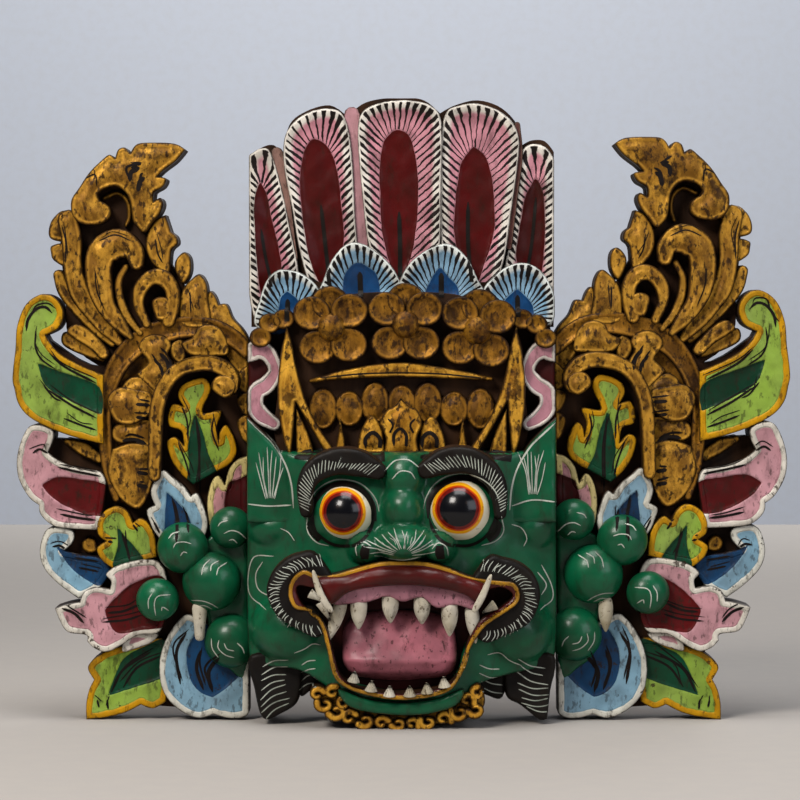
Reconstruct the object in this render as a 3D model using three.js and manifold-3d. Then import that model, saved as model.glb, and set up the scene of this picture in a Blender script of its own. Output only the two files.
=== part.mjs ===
// Winged barong mask in carved wood: a deep central mask between two flat-backed wings
import * as THREE from "three";
import { mergeVertices } from "three/addons/utils/BufferGeometryUtils.js";
import Module from "manifold-3d";

const wasm = await Module();
wasm.setup();

// Overall sizes in millimetres
const overallWidth = 500;
const overallHeight = 402;
const maskDepth = 104;
const wingDepth = 50;
const knuckleProud = 6;
const wingReliefDepth = wingDepth - knuckleProud;

// Fits between pieces
const jointGap = 0.3;
const socketDepth = 6;

// Carving habits
const edgeRounding = 1.8;
const outlineSteps = 1;
const roundSides = 8;
const roundRows = 6;
const smallSides = 6;
const smallRows = 4;
const bandEndShare = 0.7;
const cutPast = 20;

// Teeth and claws
const frontFangRadius = 5.4;
const cornerFangRadius = 4.6;
const fangSides = 6;
const bellyAlong = 0.4;
const shoulderAlong = 0.7;
const shoulderShare = 0.62;
const shoulderWaist = 0.3;
const bluntShare = 0.12;
const pegClaw = { waist: 0.25, blunt: 0.6 };
const pointedClaw = { waist: 0, blunt: 0.1 };
const tuskThickness = 3.6;
const clawRadius = 4.8;
const clawDepth = 37;
const clawOffset = [12, -29];
const knuckleBulge = 0.8;
const leftClawLength = 20;
const rightClawLength = 19;
const lowerToothRadius = 4.2;
const lowerToothLength = 9;

// Every outline is drawn on one grid of squares, counted from the middle line and up from the foot
const squaresWide = 772;
const squaresHigh = 621;
const squareWidth = overallWidth / squaresWide;
const squareHeight = overallHeight / squaresHigh;
const seamSquares = 152.5;

// How the right wing differs from a true mirror image of the left one
const rightWingStretch = 1.01;
const rightWingLean = 8;
const rightHandRise = 6;

// The wings' carving, squares out from the middle line and up from the foot; a third value marks a corner
const wingCarving = [
  // ground upper
  { form: "blob", high: 0.4, points: [
    [319.5, 498], [313.5, 532], [276.5, 562], [245.5, 556], [247.5, 508], [231.5, 458], [205.5, 420],
    [155.5, 375], [251.5, 340], [327.5, 372], [337.5, 430], [341.5, 490],
  ] },
  // ground lower
  { form: "blob", high: 0.4, points: [
    [153.5, 372, 1], [153.5, 20, 1], [201.5, 11], [271.5, 14], [307.5, 14], [301.5, 65], [329.5, 107],
    [305.5, 132], [351.5, 164], [339.5, 198], [373.5, 240], [369.5, 280], [309.5, 282], [363.5, 318],
    [375.5, 350], [373.5, 398], [357.5, 384], [301.5, 354], [241.5, 390],
  ] },
  // flame
  { form: "blob", high: 0.74, points: [
    [215.5, 571, 1], [226.5, 577], [261.5, 577], [270.5, 567, 1], [278.5, 573], [285.5, 562, 1],
    [297.5, 563], [293.5, 538], [251.5, 542], [226.5, 560],
  ] },
  // curl
  { form: "blob", high: 0.7, points: [
    [295.5, 560], [309.5, 550], [321.5, 533], [329.5, 520], [327.5, 504], [315.5, 496], [299.5, 497],
    [290.5, 504], [291.5, 514], [300.5, 520, 1], [302.5, 526], [295.5, 532], [281.5, 535], [277.5, 550],
  ] },
  // stem
  { form: "blob", high: 0.66, points: [
    [271.5, 544], [266.5, 522], [264.5, 498], [256.5, 488], [247.5, 499], [240.5, 508], [237.5, 517],
    [240.5, 523], [247.5, 519, 1], [246.5, 528], [237.5, 534], [234.5, 542], [243.5, 544, 1],
    [239.5, 554], [256.5, 556],
  ] },
  // side leaf
  { form: "blob", high: 0.66, points: [
    [235.5, 504, 1], [244.5, 500], [252.5, 488], [254.5, 474], [249.5, 461], [239.5, 451], [232.5, 450],
    [230.5, 470], [224.5, 477], [225.5, 484], [230.5, 488, 1],
  ] },
  // comb band
  { form: "ribbon", high: 0.64, points: [
    [333.5, 501, 9], [329.5, 480, 9], [328.5, 455, 8.5], [322.5, 430, 9], [310.5, 411, 8],
    [296.5, 395, 7.5], [282.5, 379, 4],
  ] },
  // comb tooth 1
  { form: "blob", high: 0.58, points: [
    [337.5, 509], [347.5, 503], [352.5, 492], [350.5, 483], [338.5, 481], [329.5, 490],
  ] },
  // hook band
  { form: "ribbon", high: 0.76, points: [
    [264.5, 458, 6.5], [267.5, 470, 9], [281.5, 477, 13.5], [297.5, 470, 13], [302.5, 454, 12],
    [300.5, 432, 11], [294.5, 414, 8.5], [282.5, 398, 6.5], [270.5, 384, 3],
  ] },
  // spiral
  { form: "ribbon", high: 0.72, points: [
    [254.5, 397, 4], [262.5, 416, 5], [260.5, 432, 6.5], [250.5, 443, 7], [238.5, 443, 7.5],
    [229.5, 432, 6.5], [228.5, 415, 6], [232.5, 400, 6],
  ] },
  // lobe 1
  { form: "blob", high: 0.62, points: [
    [217.5, 398], [220.5, 416], [217.5, 430], [210.5, 439], [202.5, 444], [196.5, 436], [194.5, 420],
    [193.5, 398],
  ] },
  // lobe 2
  { form: "blob", high: 0.56, points: [
    [196.5, 398], [194.5, 418], [190.5, 427], [185.5, 423], [182.5, 415, 1], [175.5, 415], [169.5, 403],
    [160.5, 392], [151.5, 374], [173.5, 386],
  ] },
  // low leaf
  { form: "blob", high: 0.62, points: [
    [333.5, 389], [326.5, 396], [316.5, 393], [303.5, 382], [293.5, 369], [300.5, 363], [313.5, 374],
    [326.5, 382],
  ] },
  // ring
  { form: "ribbon", high: 0.64, points: [
    [285.5, 222, 3], [293.5, 250, 5], [296.5, 280, 5.5], [297.5, 310, 6.5], [292.5, 336, 7.5],
    [281.5, 359, 8.5], [263.5, 378, 9.5], [241.5, 389, 9.5], [213.5, 394, 9], [187.5, 392, 8],
    [167.5, 382, 7], [152.5, 368, 6],
  ] },
  // lobe A
  { form: "blob", high: 0.66, points: [
    [260.5, 371], [257.5, 380], [247.5, 384], [236.5, 382], [231.5, 374], [234.5, 366], [229.5, 356],
    [232.5, 344], [243.5, 332], [254.5, 340], [262.5, 349], [252.5, 359],
  ] },
  // lobe C
  { form: "blob", high: 0.66, points: [
    [217.5, 378], [208.5, 383], [202.5, 392], [192.5, 395], [182.5, 391], [176.5, 380], [175.5, 368],
    [187.5, 366], [203.5, 366], [212.5, 369],
  ] },
  // lobe G
  { form: "blob", high: 0.68, points: [
    [292.5, 315], [287.5, 326], [276.5, 331], [267.5, 325], [263.5, 314], [266.5, 304], [274.5, 299],
    [284.5, 302],
  ] },
  // lobe H
  { form: "blob", high: 0.6, points: [
    [280.5, 286], [279.5, 297], [268.5, 302], [255.5, 304], [250.5, 292], [254.5, 280], [267.5, 284],
  ] },
  // lobe I
  { form: "blob", high: 0.66, points: [
    [280.5, 276, 1], [264.5, 279], [251.5, 270], [249.5, 250], [252.5, 228], [262.5, 213], [275.5, 219],
    [282.5, 231], [289.5, 240], [288.5, 250], [281.5, 256, 1],
  ] },
  // arch
  { form: "ribbon", high: 0.84, points: [
    [246.5, 246, 5.5], [245.5, 288, 6], [243.5, 315, 6.5], [236.5, 335, 6.5], [225.5, 349, 6.5],
    [210.5, 356, 7], [192.5, 358, 7], [177.5, 353, 7], [168.5, 342, 6.5], [171.5, 332, 7],
    [178.5, 334, 7],
  ] },
  // arch leaf
  { form: "blob", high: 0.66, points: [
    [208.5, 236, 1], [230.5, 262], [234.5, 279], [221.5, 284, 1], [233.5, 305], [227.5, 318],
    [223.5, 332], [210.5, 341], [195.5, 342], [194.5, 318], [180.5, 309], [182.5, 288, 1], [171.5, 293],
    [165.5, 272], [173.5, 256], [187.5, 245, 1],
  ] },
  // outer scroll
  { form: "blob", high: 0.72, soft: true, points: [
    [297.5, 277, 1], [326.5, 284], [351.5, 293], [371.5, 304], [382.5, 317], [386.5, 332], [388.5, 344],
    [385.5, 372], [383.5, 396], [374.5, 417], [358.5, 427], [344.5, 422], [337.5, 408], [342.5, 393],
    [355.5, 386, 1], [344.5, 370], [323.5, 357], [297.5, 346, 1],
  ] },
  // pink scroll
  { form: "blob", high: 0.7, points: [
    [295.5, 236, 1], [300.5, 249], [323.5, 253], [343.5, 261], [353.5, 269, 1], [348.5, 280],
    [348.5, 290], [359.5, 296], [371.5, 295], [379.5, 282], [384.5, 262], [382.5, 242], [372.5, 224],
    [362.5, 216, 1], [360.5, 206], [347.5, 195], [325.5, 192], [301.5, 191, 1],
  ] },
  // blue scroll
  { form: "blob", high: 0.64, points: [
    [355.5, 191], [343.5, 194], [329.5, 190], [328.5, 180], [337.5, 170, 1], [321.5, 166], [299.5, 162],
    [291.5, 150], [303.5, 132], [323.5, 122, 1], [341.5, 135], [355.5, 149], [361.5, 162], [361.5, 176],
  ] },
  // low green leaf
  { form: "blob", high: 0.58, points: [
    [316.5, 0, 1], [316.5, 20], [308.5, 40, 1], [314.5, 52], [301.5, 66], [236.5, 80], [236.5, 18, 1],
    [249.5, 11], [261.5, 15, 1], [283.5, 6],
  ] },
  // low blue petal
  { form: "blob", high: 0.66, soft: true, points: [
    [211.5, 106], [223.5, 100], [234.5, 84], [241.5, 65], [242.5, 45], [238.5, 28], [228.5, 15],
    [215.5, 6], [201.5, 2], [188.5, 6, 1], [173.5, 2], [158.5, 3], [149.5, 12], [146.5, 30],
    [150.5, 48], [152.5, 80], [186.5, 92],
  ] },
  // pink leaf
  { form: "blob", high: 0.74, points: [
    [346.5, 113, 1], [321.5, 119, 1], [317.5, 129], [306.5, 134], [291.5, 132, 1], [295.5, 147],
    [276.5, 159], [242.5, 159], [233.5, 120], [243.5, 88], [279.5, 76], [301.5, 70], [314.5, 80],
    [333.5, 89],
  ] },
  // yellow leaf
  { form: "blob", high: 0.72, points: [
    [289.5, 153, 1], [300.5, 162], [304.5, 173], [295.5, 180, 1], [303.5, 187], [303.5, 200],
    [295.5, 211], [283.5, 215], [273.5, 209], [268.5, 198, 1], [261.5, 203], [253.5, 198], [246.5, 185],
    [244.5, 164, 1], [266.5, 158],
  ] },
  // blue petal
  { form: "blob", high: 0.74, points: [
    [254.5, 211], [246.5, 216, 1], [250.5, 230], [244.5, 245], [237.5, 251], [228.5, 244], [217.5, 235],
    [210.5, 225, 1], [204.5, 228], [198.5, 217], [193.5, 194], [205.5, 175], [231.5, 175], [244.5, 186],
    [251.5, 199],
  ] },
  // cream petal
  { form: "blob", high: 0.7, points: [
    [192.5, 196, 1], [194.5, 220], [189.5, 240], [182.5, 245], [176.5, 236, 1], [172.5, 252],
    [163.5, 262], [153.5, 265, 1], [153.5, 208, 1], [173.5, 196],
  ] },
  // hand
  { form: "blob", high: 0.66, points: [
    [152.5, 200], [152.5, 52], [175.5, 53], [193.5, 72], [195.5, 105], [211.5, 135], [205.5, 168],
    [187.5, 188],
  ] },
];

// The knuckles of the hand at the foot of each wing
const knuckles = [
  // wrist
  { at: [170.5, 80], radius: 27, high: 0.92 },
  // knuckle inner
  { at: [170.5, 194], radius: 21, high: 0.92 },
  // palm
  { at: [189.5, 140], radius: 29.5, high: 1.0 },
  // knuckle outer
  { at: [218.5, 174], radius: 25.5, high: 0.98 },
  // knuckle side
  { at: [243.5, 122], radius: 21.5, high: 0.94 },
];

// The mask's carving, squares to the right of the middle line and up from the foot
const maskCarving = [
  // head board
  { form: "blob", high: 0.3, points: [
    [-139.5, 402, 1], [-152.5, 376, 1], [-152.5, 69, 1], [-139.5, 60], [-101.5, 56], [-76.5, 42],
    [-56.5, 24], [1.5, 18], [58.5, 24], [78.5, 42], [103.5, 54], [143.5, 60], [152.5, 69, 1],
    [152.5, 376, 1], [146.5, 402, 1], [98.5, 439, 1], [-91.5, 439, 1],
  ] },
  // crown board
  { form: "blob", high: 0.2, points: [
    [-151.5, 566], [-133.5, 576], [-118.5, 566, 1], [-112.5, 596], [-93.5, 612], [-71.5, 615],
    [-54.5, 605, 1], [-39.5, 617], [0.5, 623], [26.5, 619], [38.5, 608, 1], [53.5, 616], [78.5, 620],
    [100.5, 612], [117.5, 594], [120.5, 576, 1], [136.5, 584], [153.5, 572], [154.5, 394, 1],
    [-150.5, 394, 1],
  ] },
  // feather 1
  { form: "blob", high: 0.26, points: [
    [-154.5, 560], [-147.5, 569], [-138.5, 573], [-130.5, 568], [-121.5, 540], [-112.5, 499],
    [-102.5, 446], [-107.5, 404], [-139.5, 394], [-151.5, 419], [-155.5, 474], [-156.5, 524],
  ] },
  // feather 5
  { form: "blob", high: 0.26, points: [
    [118.5, 566], [126.5, 576], [139.5, 576], [149.5, 567], [154.5, 550], [155.5, 489], [154.5, 424],
    [147.5, 394], [120.5, 412], [101.5, 436], [106.5, 474], [111.5, 514], [115.5, 544],
  ] },
  // feather 2
  { form: "blob", high: 0.3, points: [
    [-117.5, 578], [-109.5, 594], [-95.5, 605], [-78.5, 609], [-63.5, 605], [-55.5, 587], [-50.5, 554],
    [-47.5, 509], [-44.5, 456], [-61.5, 424], [-87.5, 429], [-101.5, 469], [-109.5, 514], [-116.5, 549],
  ] },
  // feather 4
  { form: "blob", high: 0.3, points: [
    [39.5, 584], [44.5, 606], [57.5, 613], [74.5, 614], [94.5, 607], [108.5, 595], [115.5, 578],
    [113.5, 544], [108.5, 502], [102.5, 462], [88.5, 426], [48.5, 426], [39.5, 474], [38.5, 534],
  ] },
  // feather 3
  { form: "blob", high: 0.33, soft: true, points: [
    [-42.5, 582], [-39.5, 604], [-25.5, 614], [-1.5, 618], [21.5, 615], [35.5, 604], [39.5, 582],
    [39.5, 534], [38.5, 479], [30.5, 429], [-16.5, 429], [-32.5, 474], [-39.5, 529],
  ] },
  // petal 1
  { form: "blob", high: 0.38, points: [
    [-146.5, 397], [-141.5, 421], [-134.5, 440], [-124.5, 450], [-111.5, 451], [-96.5, 446],
    [-83.5, 434], [-79.5, 419], [-101.5, 396], [-126.5, 386],
  ] },
  // petal 4
  { form: "blob", high: 0.38, points: [
    [78.5, 419], [82.5, 434], [95.5, 448], [108.5, 456], [122.5, 458], [136.5, 452], [146.5, 439],
    [152.5, 421], [148.5, 397], [113.5, 394],
  ] },
  // petal 2
  { form: "blob", high: 0.41, points: [
    [-80.5, 421], [-77.5, 442], [-68.5, 462], [-55.5, 476], [-42.5, 478], [-27.5, 471], [-13.5, 459],
    [-2.5, 442], [0.5, 424], [-41.5, 406],
  ] },
  // petal 3
  { form: "blob", high: 0.41, points: [
    [-1.5, 424], [-1.5, 441], [8.5, 458], [23.5, 470], [40.5, 477], [53.5, 474], [65.5, 462],
    [75.5, 442], [80.5, 424], [38.5, 408],
  ] },
  // diadem field
  { form: "blob", high: 0.42, points: [
    [-111.5, 394], [-61.5, 424], [1.5, 429], [64.5, 424], [112.5, 394], [122.5, 334], [113.5, 264],
    [1.5, 254], [-114.5, 264], [-122.5, 334],
  ] },
  // brow band
  { form: "ribbon", high: 0.52, points: [
    [-89.5, 341, 2], [-51.5, 348, 5], [-1.5, 352, 7.5], [48.5, 348, 5], [88.5, 343, 2],
  ] },
  // centre jewel
  { form: "blob", high: 0.56, points: [
    [-18.5, 266, 1], [-15.5, 284], [-21.5, 299], [-14.5, 312], [-7.5, 316], [-0.5, 324, 1], [7.5, 316],
    [15.5, 312], [20.5, 299], [15.5, 284], [18.5, 266, 1],
  ] },
  // left plate
  { form: "blob", high: 0.54, twin: true, points: [
    [-113.5, 396, 1], [-120.5, 359], [-122.5, 322], [-116.5, 282], [-109.5, 263, 1], [-104.5, 320, 1],
    [-73.5, 267, 1], [-66.5, 272, 1], [-89.5, 309], [-101.5, 344], [-108.5, 379],
  ] },
  // left plate field
  { form: "blob", high: 0.52, twin: true, points: [
    [-104.5, 316, 1], [-90.5, 284], [-87.5, 261], [-104.5, 260, 1],
  ] },
  // left flame
  { form: "blob", high: 0.52, twin: true, points: [
    [-44.5, 269, 1], [-41.5, 288], [-33.5, 304], [-26.5, 305], [-18.5, 292], [-16.5, 269, 1],
  ] },
  // left curl
  { form: "ribbon", high: 0.46, twin: true, points: [
    [-151.5, 366, 7], [-141.5, 370, 8], [-131.5, 364, 6], [-126.5, 351, 5], [-133.5, 338, 7],
    [-144.5, 330, 8], [-146.5, 317, 7], [-139.5, 306, 8], [-127.5, 298, 6],
  ] },
  // left ear
  { form: "blob", high: 0.6, twin: true, points: [
    [-152.5, 305, 1], [-139.5, 293], [-124.5, 277], [-113.5, 256], [-106.5, 229], [-104.5, 202],
    [-152.5, 202, 1],
  ] },
  // left beard
  { form: "blob", high: 0.52, points: [
    [-149.5, 69], [-145.5, 34], [-140.5, 12], [-133.5, 5], [-119.5, 11], [-103.5, 22], [-98.5, 44],
    [-101.5, 69],
  ] },
  // left beard inner
  { form: "blob", high: 0.48, points: [
    [-103.5, 66], [-101.5, 29], [-89.5, 34], [-76.5, 46], [-75.5, 69],
  ] },
  // right beard
  { form: "blob", high: 0.52, points: [
    [151.5, 69], [147.5, 34], [144.5, 6, 1], [136.5, 5], [118.5, 19], [103.5, 29], [101.5, 56],
    [108.5, 69],
  ] },
  // right beard inner
  { form: "blob", high: 0.48, points: [
    [104.5, 64], [100.5, 27], [83.5, 29], [63.5, 39], [61.5, 56],
  ] },
  // left fringe
  { form: "blob", high: 0.8, points: [
    [-81.5, 171], [-101.5, 173], [-118.5, 164], [-129.5, 149], [-131.5, 132], [-121.5, 112],
    [-101.5, 99], [-79.5, 92], [-56.5, 124],
  ] },
  // right fringe
  { form: "blob", high: 0.8, points: [
    [82.5, 168], [101.5, 168], [118.5, 162], [131.5, 149], [135.5, 129], [125.5, 106], [103.5, 94],
    [78.5, 87], [58.5, 124],
  ] },
  // lips
  { form: "blob", high: 0.87, soft: true, points: [
    [1.5, 167], [-39.5, 161], [-79.5, 152], [-95.5, 158], [-109.5, 141], [-102.5, 118], [-80.5, 108],
    [-69.5, 64], [-51.5, 40], [1.5, 30], [48.5, 40], [63.5, 70], [80.5, 101], [112.5, 124],
    [113.5, 140], [94.5, 147], [43.5, 161],
  ] },
  // left brow
  { form: "ribbon", high: 0.79, points: [
    [-93.5, 214, 6], [-93.5, 239, 9], [-83.5, 255, 12], [-63.5, 263, 13], [-41.5, 261, 13],
    [-23.5, 254, 9],
  ] },
  // right brow
  { form: "ribbon", high: 0.79, points: [
    [96.5, 212, 6], [94.5, 237, 9], [83.5, 254, 12], [64.5, 264, 13], [42.5, 263, 13], [23.5, 255, 9],
  ] },
  // chin
  { form: "blob", high: 0.78, points: [
    [-61.5, 40], [-31.5, 30], [1.5, 27], [34.5, 31], [60.5, 40], [53.5, 24], [28.5, 16], [1.5, 14],
    [-31.5, 17], [-53.5, 24],
  ] },
  // collar
  { form: "blob", high: 0.66, points: [
    [-85.5, 26], [-72.5, 36], [-56.5, 42], [1.5, 24], [63.5, 42], [79.5, 36], [81.5, 22], [53.5, 5],
    [1.5, 0], [-51.5, 4], [-75.5, 24],
  ] },
];

// The open mouth
const mouthHollow = [
  [-101.5, 141], [-83.5, 139], [-59.5, 135], [-31.5, 140], [1.5, 142], [34.5, 140], [62.5, 136],
  [84.5, 138], [98.5, 140], [108.5, 132], [96.5, 121], [76.5, 108], [64.5, 86], [58.5, 64], [43.5, 44],
  [1.5, 36], [-39.5, 41], [-58.5, 52], [-66.5, 74], [-75.5, 106], [-96.5, 124],
];
const gumBand = [
  [-71.5, 140], [1.5, 148], [74.5, 138], [72.5, 118], [53.5, 123], [34.5, 120], [18.5, 130], [1.5, 126],
  [-15.5, 131], [-31.5, 126], [-49.5, 124], [-67.5, 124],
];
const upperLip = [
  [-83.5, 150], [-56.5, 153], [-31.5, 160], [1.5, 163], [34.5, 160], [60.5, 152], [84.5, 142],
  [76.5, 124], [60.5, 134], [30.5, 141], [1.5, 143], [-27.5, 141], [-51.5, 136], [-68.5, 124],
  [-79.5, 134],
];

// What the face block shows from the front
const faceOutline = [
  [-152.5, 272, 1], [152.5, 272, 1], [153.5, 84], [143.5, 60], [108.5, 52], [78.5, 44], [58.5, 26],
  [28.5, 16], [1.5, 14], [-26.5, 17], [-56.5, 26], [-76.5, 42], [-101.5, 56], [-139.5, 60],
  [-152.5, 79],
];

// Rounded masses of the face: centre in squares, half sizes in squares, depth shares of centre and half size
const faceMasses = [
  // forehead bump
  { at: [2, 249], half: [20, 25], depth: 0.7, bulge: 0.13 },
  // bridge of the nose
  { at: [1, 216], half: [21, 26], depth: 0.7, bulge: 0.17 },
  // tip of the nose
  { at: [2, 184], half: [30, 19], depth: 0.76, bulge: 0.24 },
  // nostrils
  { at: [-35, 179], half: [17, 16], depth: 0.74, bulge: 0.18 },
  { at: [36, 179], half: [17, 16], depth: 0.74, bulge: 0.18 },
  // left and right eye sockets
  { at: [-57, 210], half: [37, 35], depth: 0.64, bulge: 0.16 },
  { at: [59, 212], half: [39, 37], depth: 0.64, bulge: 0.16 },
  // left and right eyeballs
  { at: [-57, 210], half: [28, 28], depth: 0.68, bulge: 0.19 },
  { at: [59, 213], half: [31, 31], depth: 0.68, bulge: 0.19 },
  // cheekbones
  { at: [-124, 196], half: [29, 22], depth: 0.46, bulge: 0.22 },
  { at: [128, 196], half: [25, 24], depth: 0.46, bulge: 0.22 },
  // jowls
  { at: [-108, 96], half: [42, 36], depth: 0.48, bulge: 0.26 },
  { at: [110, 94], half: [40, 36], depth: 0.48, bulge: 0.26 },
];
const mouthFloor = 0.58;
const gumBack = 0.5;
const gumHigh = 0.83;
const lipHigh = 0.92;
const fangDepth = 80;
const lowerToothDepth = 0.7;
const lowerToothBulge = 14;
const tongueMass = { at: [-3, 77], half: [58, 34], depth: 0.6, bulge: 0.2 };

// The block that the face is carved from, as shares of the mask's depth
const facePlan = [
  [-152, 0.46], [-120, 0.58], [-70, 0.7], [0, 0.76], [70, 0.7], [120, 0.58], [152, 0.46],
];
const faceProfile = [
  [14, 0.58], [30, 0.74], [110, 0.8], [200, 0.74], [262, 0.66], [272, 0.5],
];

// Diadem flowers: centre, turn of the first petal in degrees
const flowers = [
  { at: [-69, 394], turn: 70 },
  { at: [4, 397], turn: 90 },
  { at: [75, 391], turn: 100 },
];
const flowerPetals = 5;
const petalRadius = 17;
const petalReach = 20;
const flowerBaseRadius = 22;
const flowerBaseHigh = 0.5;
const flowerKnobRadius = 13;
const flowerHigh = 0.53;
const flowerKnobHigh = 0.58;
const scallopDrop = 3;

// Row of scallops under the brow band: where the row starts, step, and size of each
const scallops = { count: 7, first: -78, step: 26, middle: 323, half: [14, 21], high: 0.47 };

// Front fangs: tip across, top and tip heights in squares
const frontFangs = [
  [-42, 126, 98], [-11, 130, 104], [20, 127, 103], [47, 121, 91],
];
const cornerFangs = [
  { root: [-61, 122], tip: [-70, 87] },
  { root: [69, 116], tip: [72, 84] },
];
const tusks = [
  [[-70, 119, 3], [-79, 134, 3], [-84, 158, 2]],
  [[72, 119, 3], [79, 134, 3], [85, 154, 2]],
];
const lowerTeeth = [
  [-47, 55], [-30, 46], [-12, 41], [8, 41], [25, 44], [42, 50],
];

// Squares to millimetres
const across = (x) => x * squareWidth;
const up = (z) => z * squareHeight;

const white = { color: "#d9d4c6", roughness: 0.55, metalness: 0 };
const finish = ({ color, roughness, metalness }) =>
  new THREE.MeshStandardMaterial({ color, roughness, metalness });

// A closed mesh as a solid for joining and cutting
function solidOf(geometry) {
  const bare = geometry.index ? geometry.toNonIndexed() : geometry;
  bare.deleteAttribute("normal");
  bare.deleteAttribute("uv");
  const merged = mergeVertices(bare, 1e-4);
  return new wasm.Manifold(
    new wasm.Mesh({
      numProp: 3,
      vertProperties: Float32Array.from(merged.attributes.position.array),
      triVerts: Uint32Array.from(merged.index.array),
    }),
  );
}

function geometryOf(solid) {
  const mesh = solid.getMesh();
  const geometry = new THREE.BufferGeometry();
  geometry.setAttribute("position", new THREE.BufferAttribute(Float32Array.from(mesh.vertProperties), 3));
  geometry.setIndex(new THREE.BufferAttribute(Uint32Array.from(mesh.triVerts), 1));
  geometry.computeVertexNormals();
  return geometry;
}

// Adds every solid of a list to the first one
function joined(solids) {
  return solids.reduce((whole, next) => whole.add(next));
}

// A closed outline that runs smoothly through its points and turns sharply at marked corners
function smoothOutline(points, steps = outlineSteps) {
  const count = points.length;
  const slope = (i) => {
    if (points[i][2]) return [0, 0];
    const before = points[(i + count - 1) % count];
    const after = points[(i + 1) % count];
    return [(after[0] - before[0]) / 2, (after[1] - before[1]) / 2];
  };
  const outline = [];
  for (let i = 0; i < count; i += 1) {
    const from = points[i];
    const to = points[(i + 1) % count];
    const leave = slope(i);
    const arrive = slope((i + 1) % count);
    for (let step = 0; step < steps; step += 1) {
      const t = step / steps;
      const weights = [2 * t ** 3 - 3 * t ** 2 + 1, t ** 3 - 2 * t ** 2 + t, 3 * t ** 2 - 2 * t ** 3, t ** 3 - t ** 2];
      const mix = (k) => weights[0] * from[k] + weights[1] * leave[k] + weights[2] * to[k] + weights[3] * arrive[k];
      outline.push([mix(0), mix(1)]);
    }
  }
  return outline;
}

// The outline of a band that follows a middle line of [across, up, half width] points
function bandOutline(points, stepsPerPoint = outlineSteps) {
  const line = new THREE.CatmullRomCurve3(points.map((p) => new THREE.Vector3(...p)));
  const steps = (points.length - 1) * stepsPerPoint;
  const left = [];
  const right = [];
  for (let step = 0; step <= steps; step += 1) {
    const place = line.getPoint(step / steps);
    const along = line.getTangent(step / steps);
    const length = Math.hypot(along.x, along.y);
    const side = [-along.y / length, along.x / length];
    left.push([place.x + side[0] * place.z, place.y + side[1] * place.z]);
    right.push([place.x - side[0] * place.z, place.y - side[1] * place.z]);
    if (step === 0 || step === steps) {
      const outward = (step === 0 ? -1 : 1) * place.z * bandEndShare;
      left.push([place.x + (along.x / length) * outward, place.y + (along.y / length) * outward]);
      if (step === 0) left.reverse();
    }
  }
  return [...left, ...right.reverse()];
}

// A carved element: its outline in squares, raised from the back plane to its height with rounded edges
function relief(outline, high, { from = 0, rounding = edgeRounding } = {}) {
  const shape = new THREE.Shape(outline.map(([x, z]) => new THREE.Vector2(across(x), up(z))));
  const geometry = new THREE.ExtrudeGeometry(shape, {
    depth: high - from - rounding * (from ? 2 : 1),
    bevelEnabled: rounding > 0,
    bevelThickness: rounding,
    bevelSize: rounding,
    bevelOffset: -rounding,
    bevelSegments: 1,
    curveSegments: 1,
  });
  geometry.rotateX(Math.PI / 2);
  geometry.translate(0, -from - (from ? rounding : 0), 0);
  return solidOf(geometry);
}

// A straight-sided plug or hollow with the same outline
function plug(outline, from, to) {
  const shape = new THREE.Shape(outline.map(([x, z]) => new THREE.Vector2(across(x), up(z))));
  const geometry = new THREE.ExtrudeGeometry(shape, { depth: to - from, bevelEnabled: false, curveSegments: 1 });
  geometry.rotateX(Math.PI / 2);
  geometry.translate(0, -from, 0);
  return solidOf(geometry);
}

// A rounded mass: half sizes across, up and in depth, in millimetres
function mass(x, z, depth, halfWidth, halfHeight, bulge, around = roundSides, rows = roundRows) {
  const geometry = new THREE.SphereGeometry(1, around, rows);
  geometry.scale(halfWidth, bulge, halfHeight);
  geometry.translate(x, -depth, z);
  return solidOf(geometry);
}

function faceMass({ at, half, depth, bulge }) {
  return mass(across(at[0]), up(at[1]), depth * maskDepth, across(half[0]), up(half[1]), bulge * maskDepth);
}

// An ellipse as an outline in squares
function ellipse(middle, half, count, turn = 0) {
  const outline = [];
  for (let i = 0; i < count; i += 1) {
    const angle = turn + (i * 2 * Math.PI) / count;
    outline.push([middle[0] + half[0] * Math.cos(angle), middle[1] + half[1] * Math.sin(angle)]);
  }
  return outline;
}

// A pointed piece turned about its own axis from root to tip, with a swelling near the root
function spike(root, tip, depth, radius, { spare = 0, waist = 0, blunt = bluntShare } = {}) {
  const from = new THREE.Vector2(across(root[0]), up(root[1]));
  const to = new THREE.Vector2(across(tip[0]), up(tip[1]));
  const length = from.distanceTo(to);
  const profile = [
    [0, -socketDepth - spare],
    [radius + spare, -socketDepth - spare],
    [radius + spare, 0],
    [radius * (1 - waist) + spare, length * bellyAlong],
    [radius * (shoulderShare + waist * shoulderWaist) + spare, length * shoulderAlong],
    [radius * blunt + spare, length + spare],
    [0, length + spare],
  ].map(([r, h]) => new THREE.Vector2(r, h));
  const geometry = new THREE.LatheGeometry(profile, fangSides);
  const turn = new THREE.Quaternion().setFromUnitVectors(
    new THREE.Vector3(0, 1, 0),
    new THREE.Vector3(to.x - from.x, 0, to.y - from.y).normalize(),
  );
  geometry.applyQuaternion(turn);
  geometry.translate(from.x, -depth, from.y);
  return solidOf(geometry);
}

// A block in millimetres between two corners
function block(low, high) {
  const geometry = new THREE.BoxGeometry(high[0] - low[0], high[1] - low[1], high[2] - low[2]);
  geometry.translate((low[0] + high[0]) / 2, (low[1] + high[1]) / 2, (low[2] + high[2]) / 2);
  return solidOf(geometry);
}

const wide = overallWidth;
const tall = overallHeight;
const behindBack = block([-wide, 0, -cutPast], [wide, cutPast, tall + cutPast]);
const belowFoot = block([-wide, -maskDepth - cutPast, -cutPast], [wide, cutPast, 0]);
const trimmed = (solid) => solid.subtract(behindBack).subtract(belowFoot);

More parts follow.
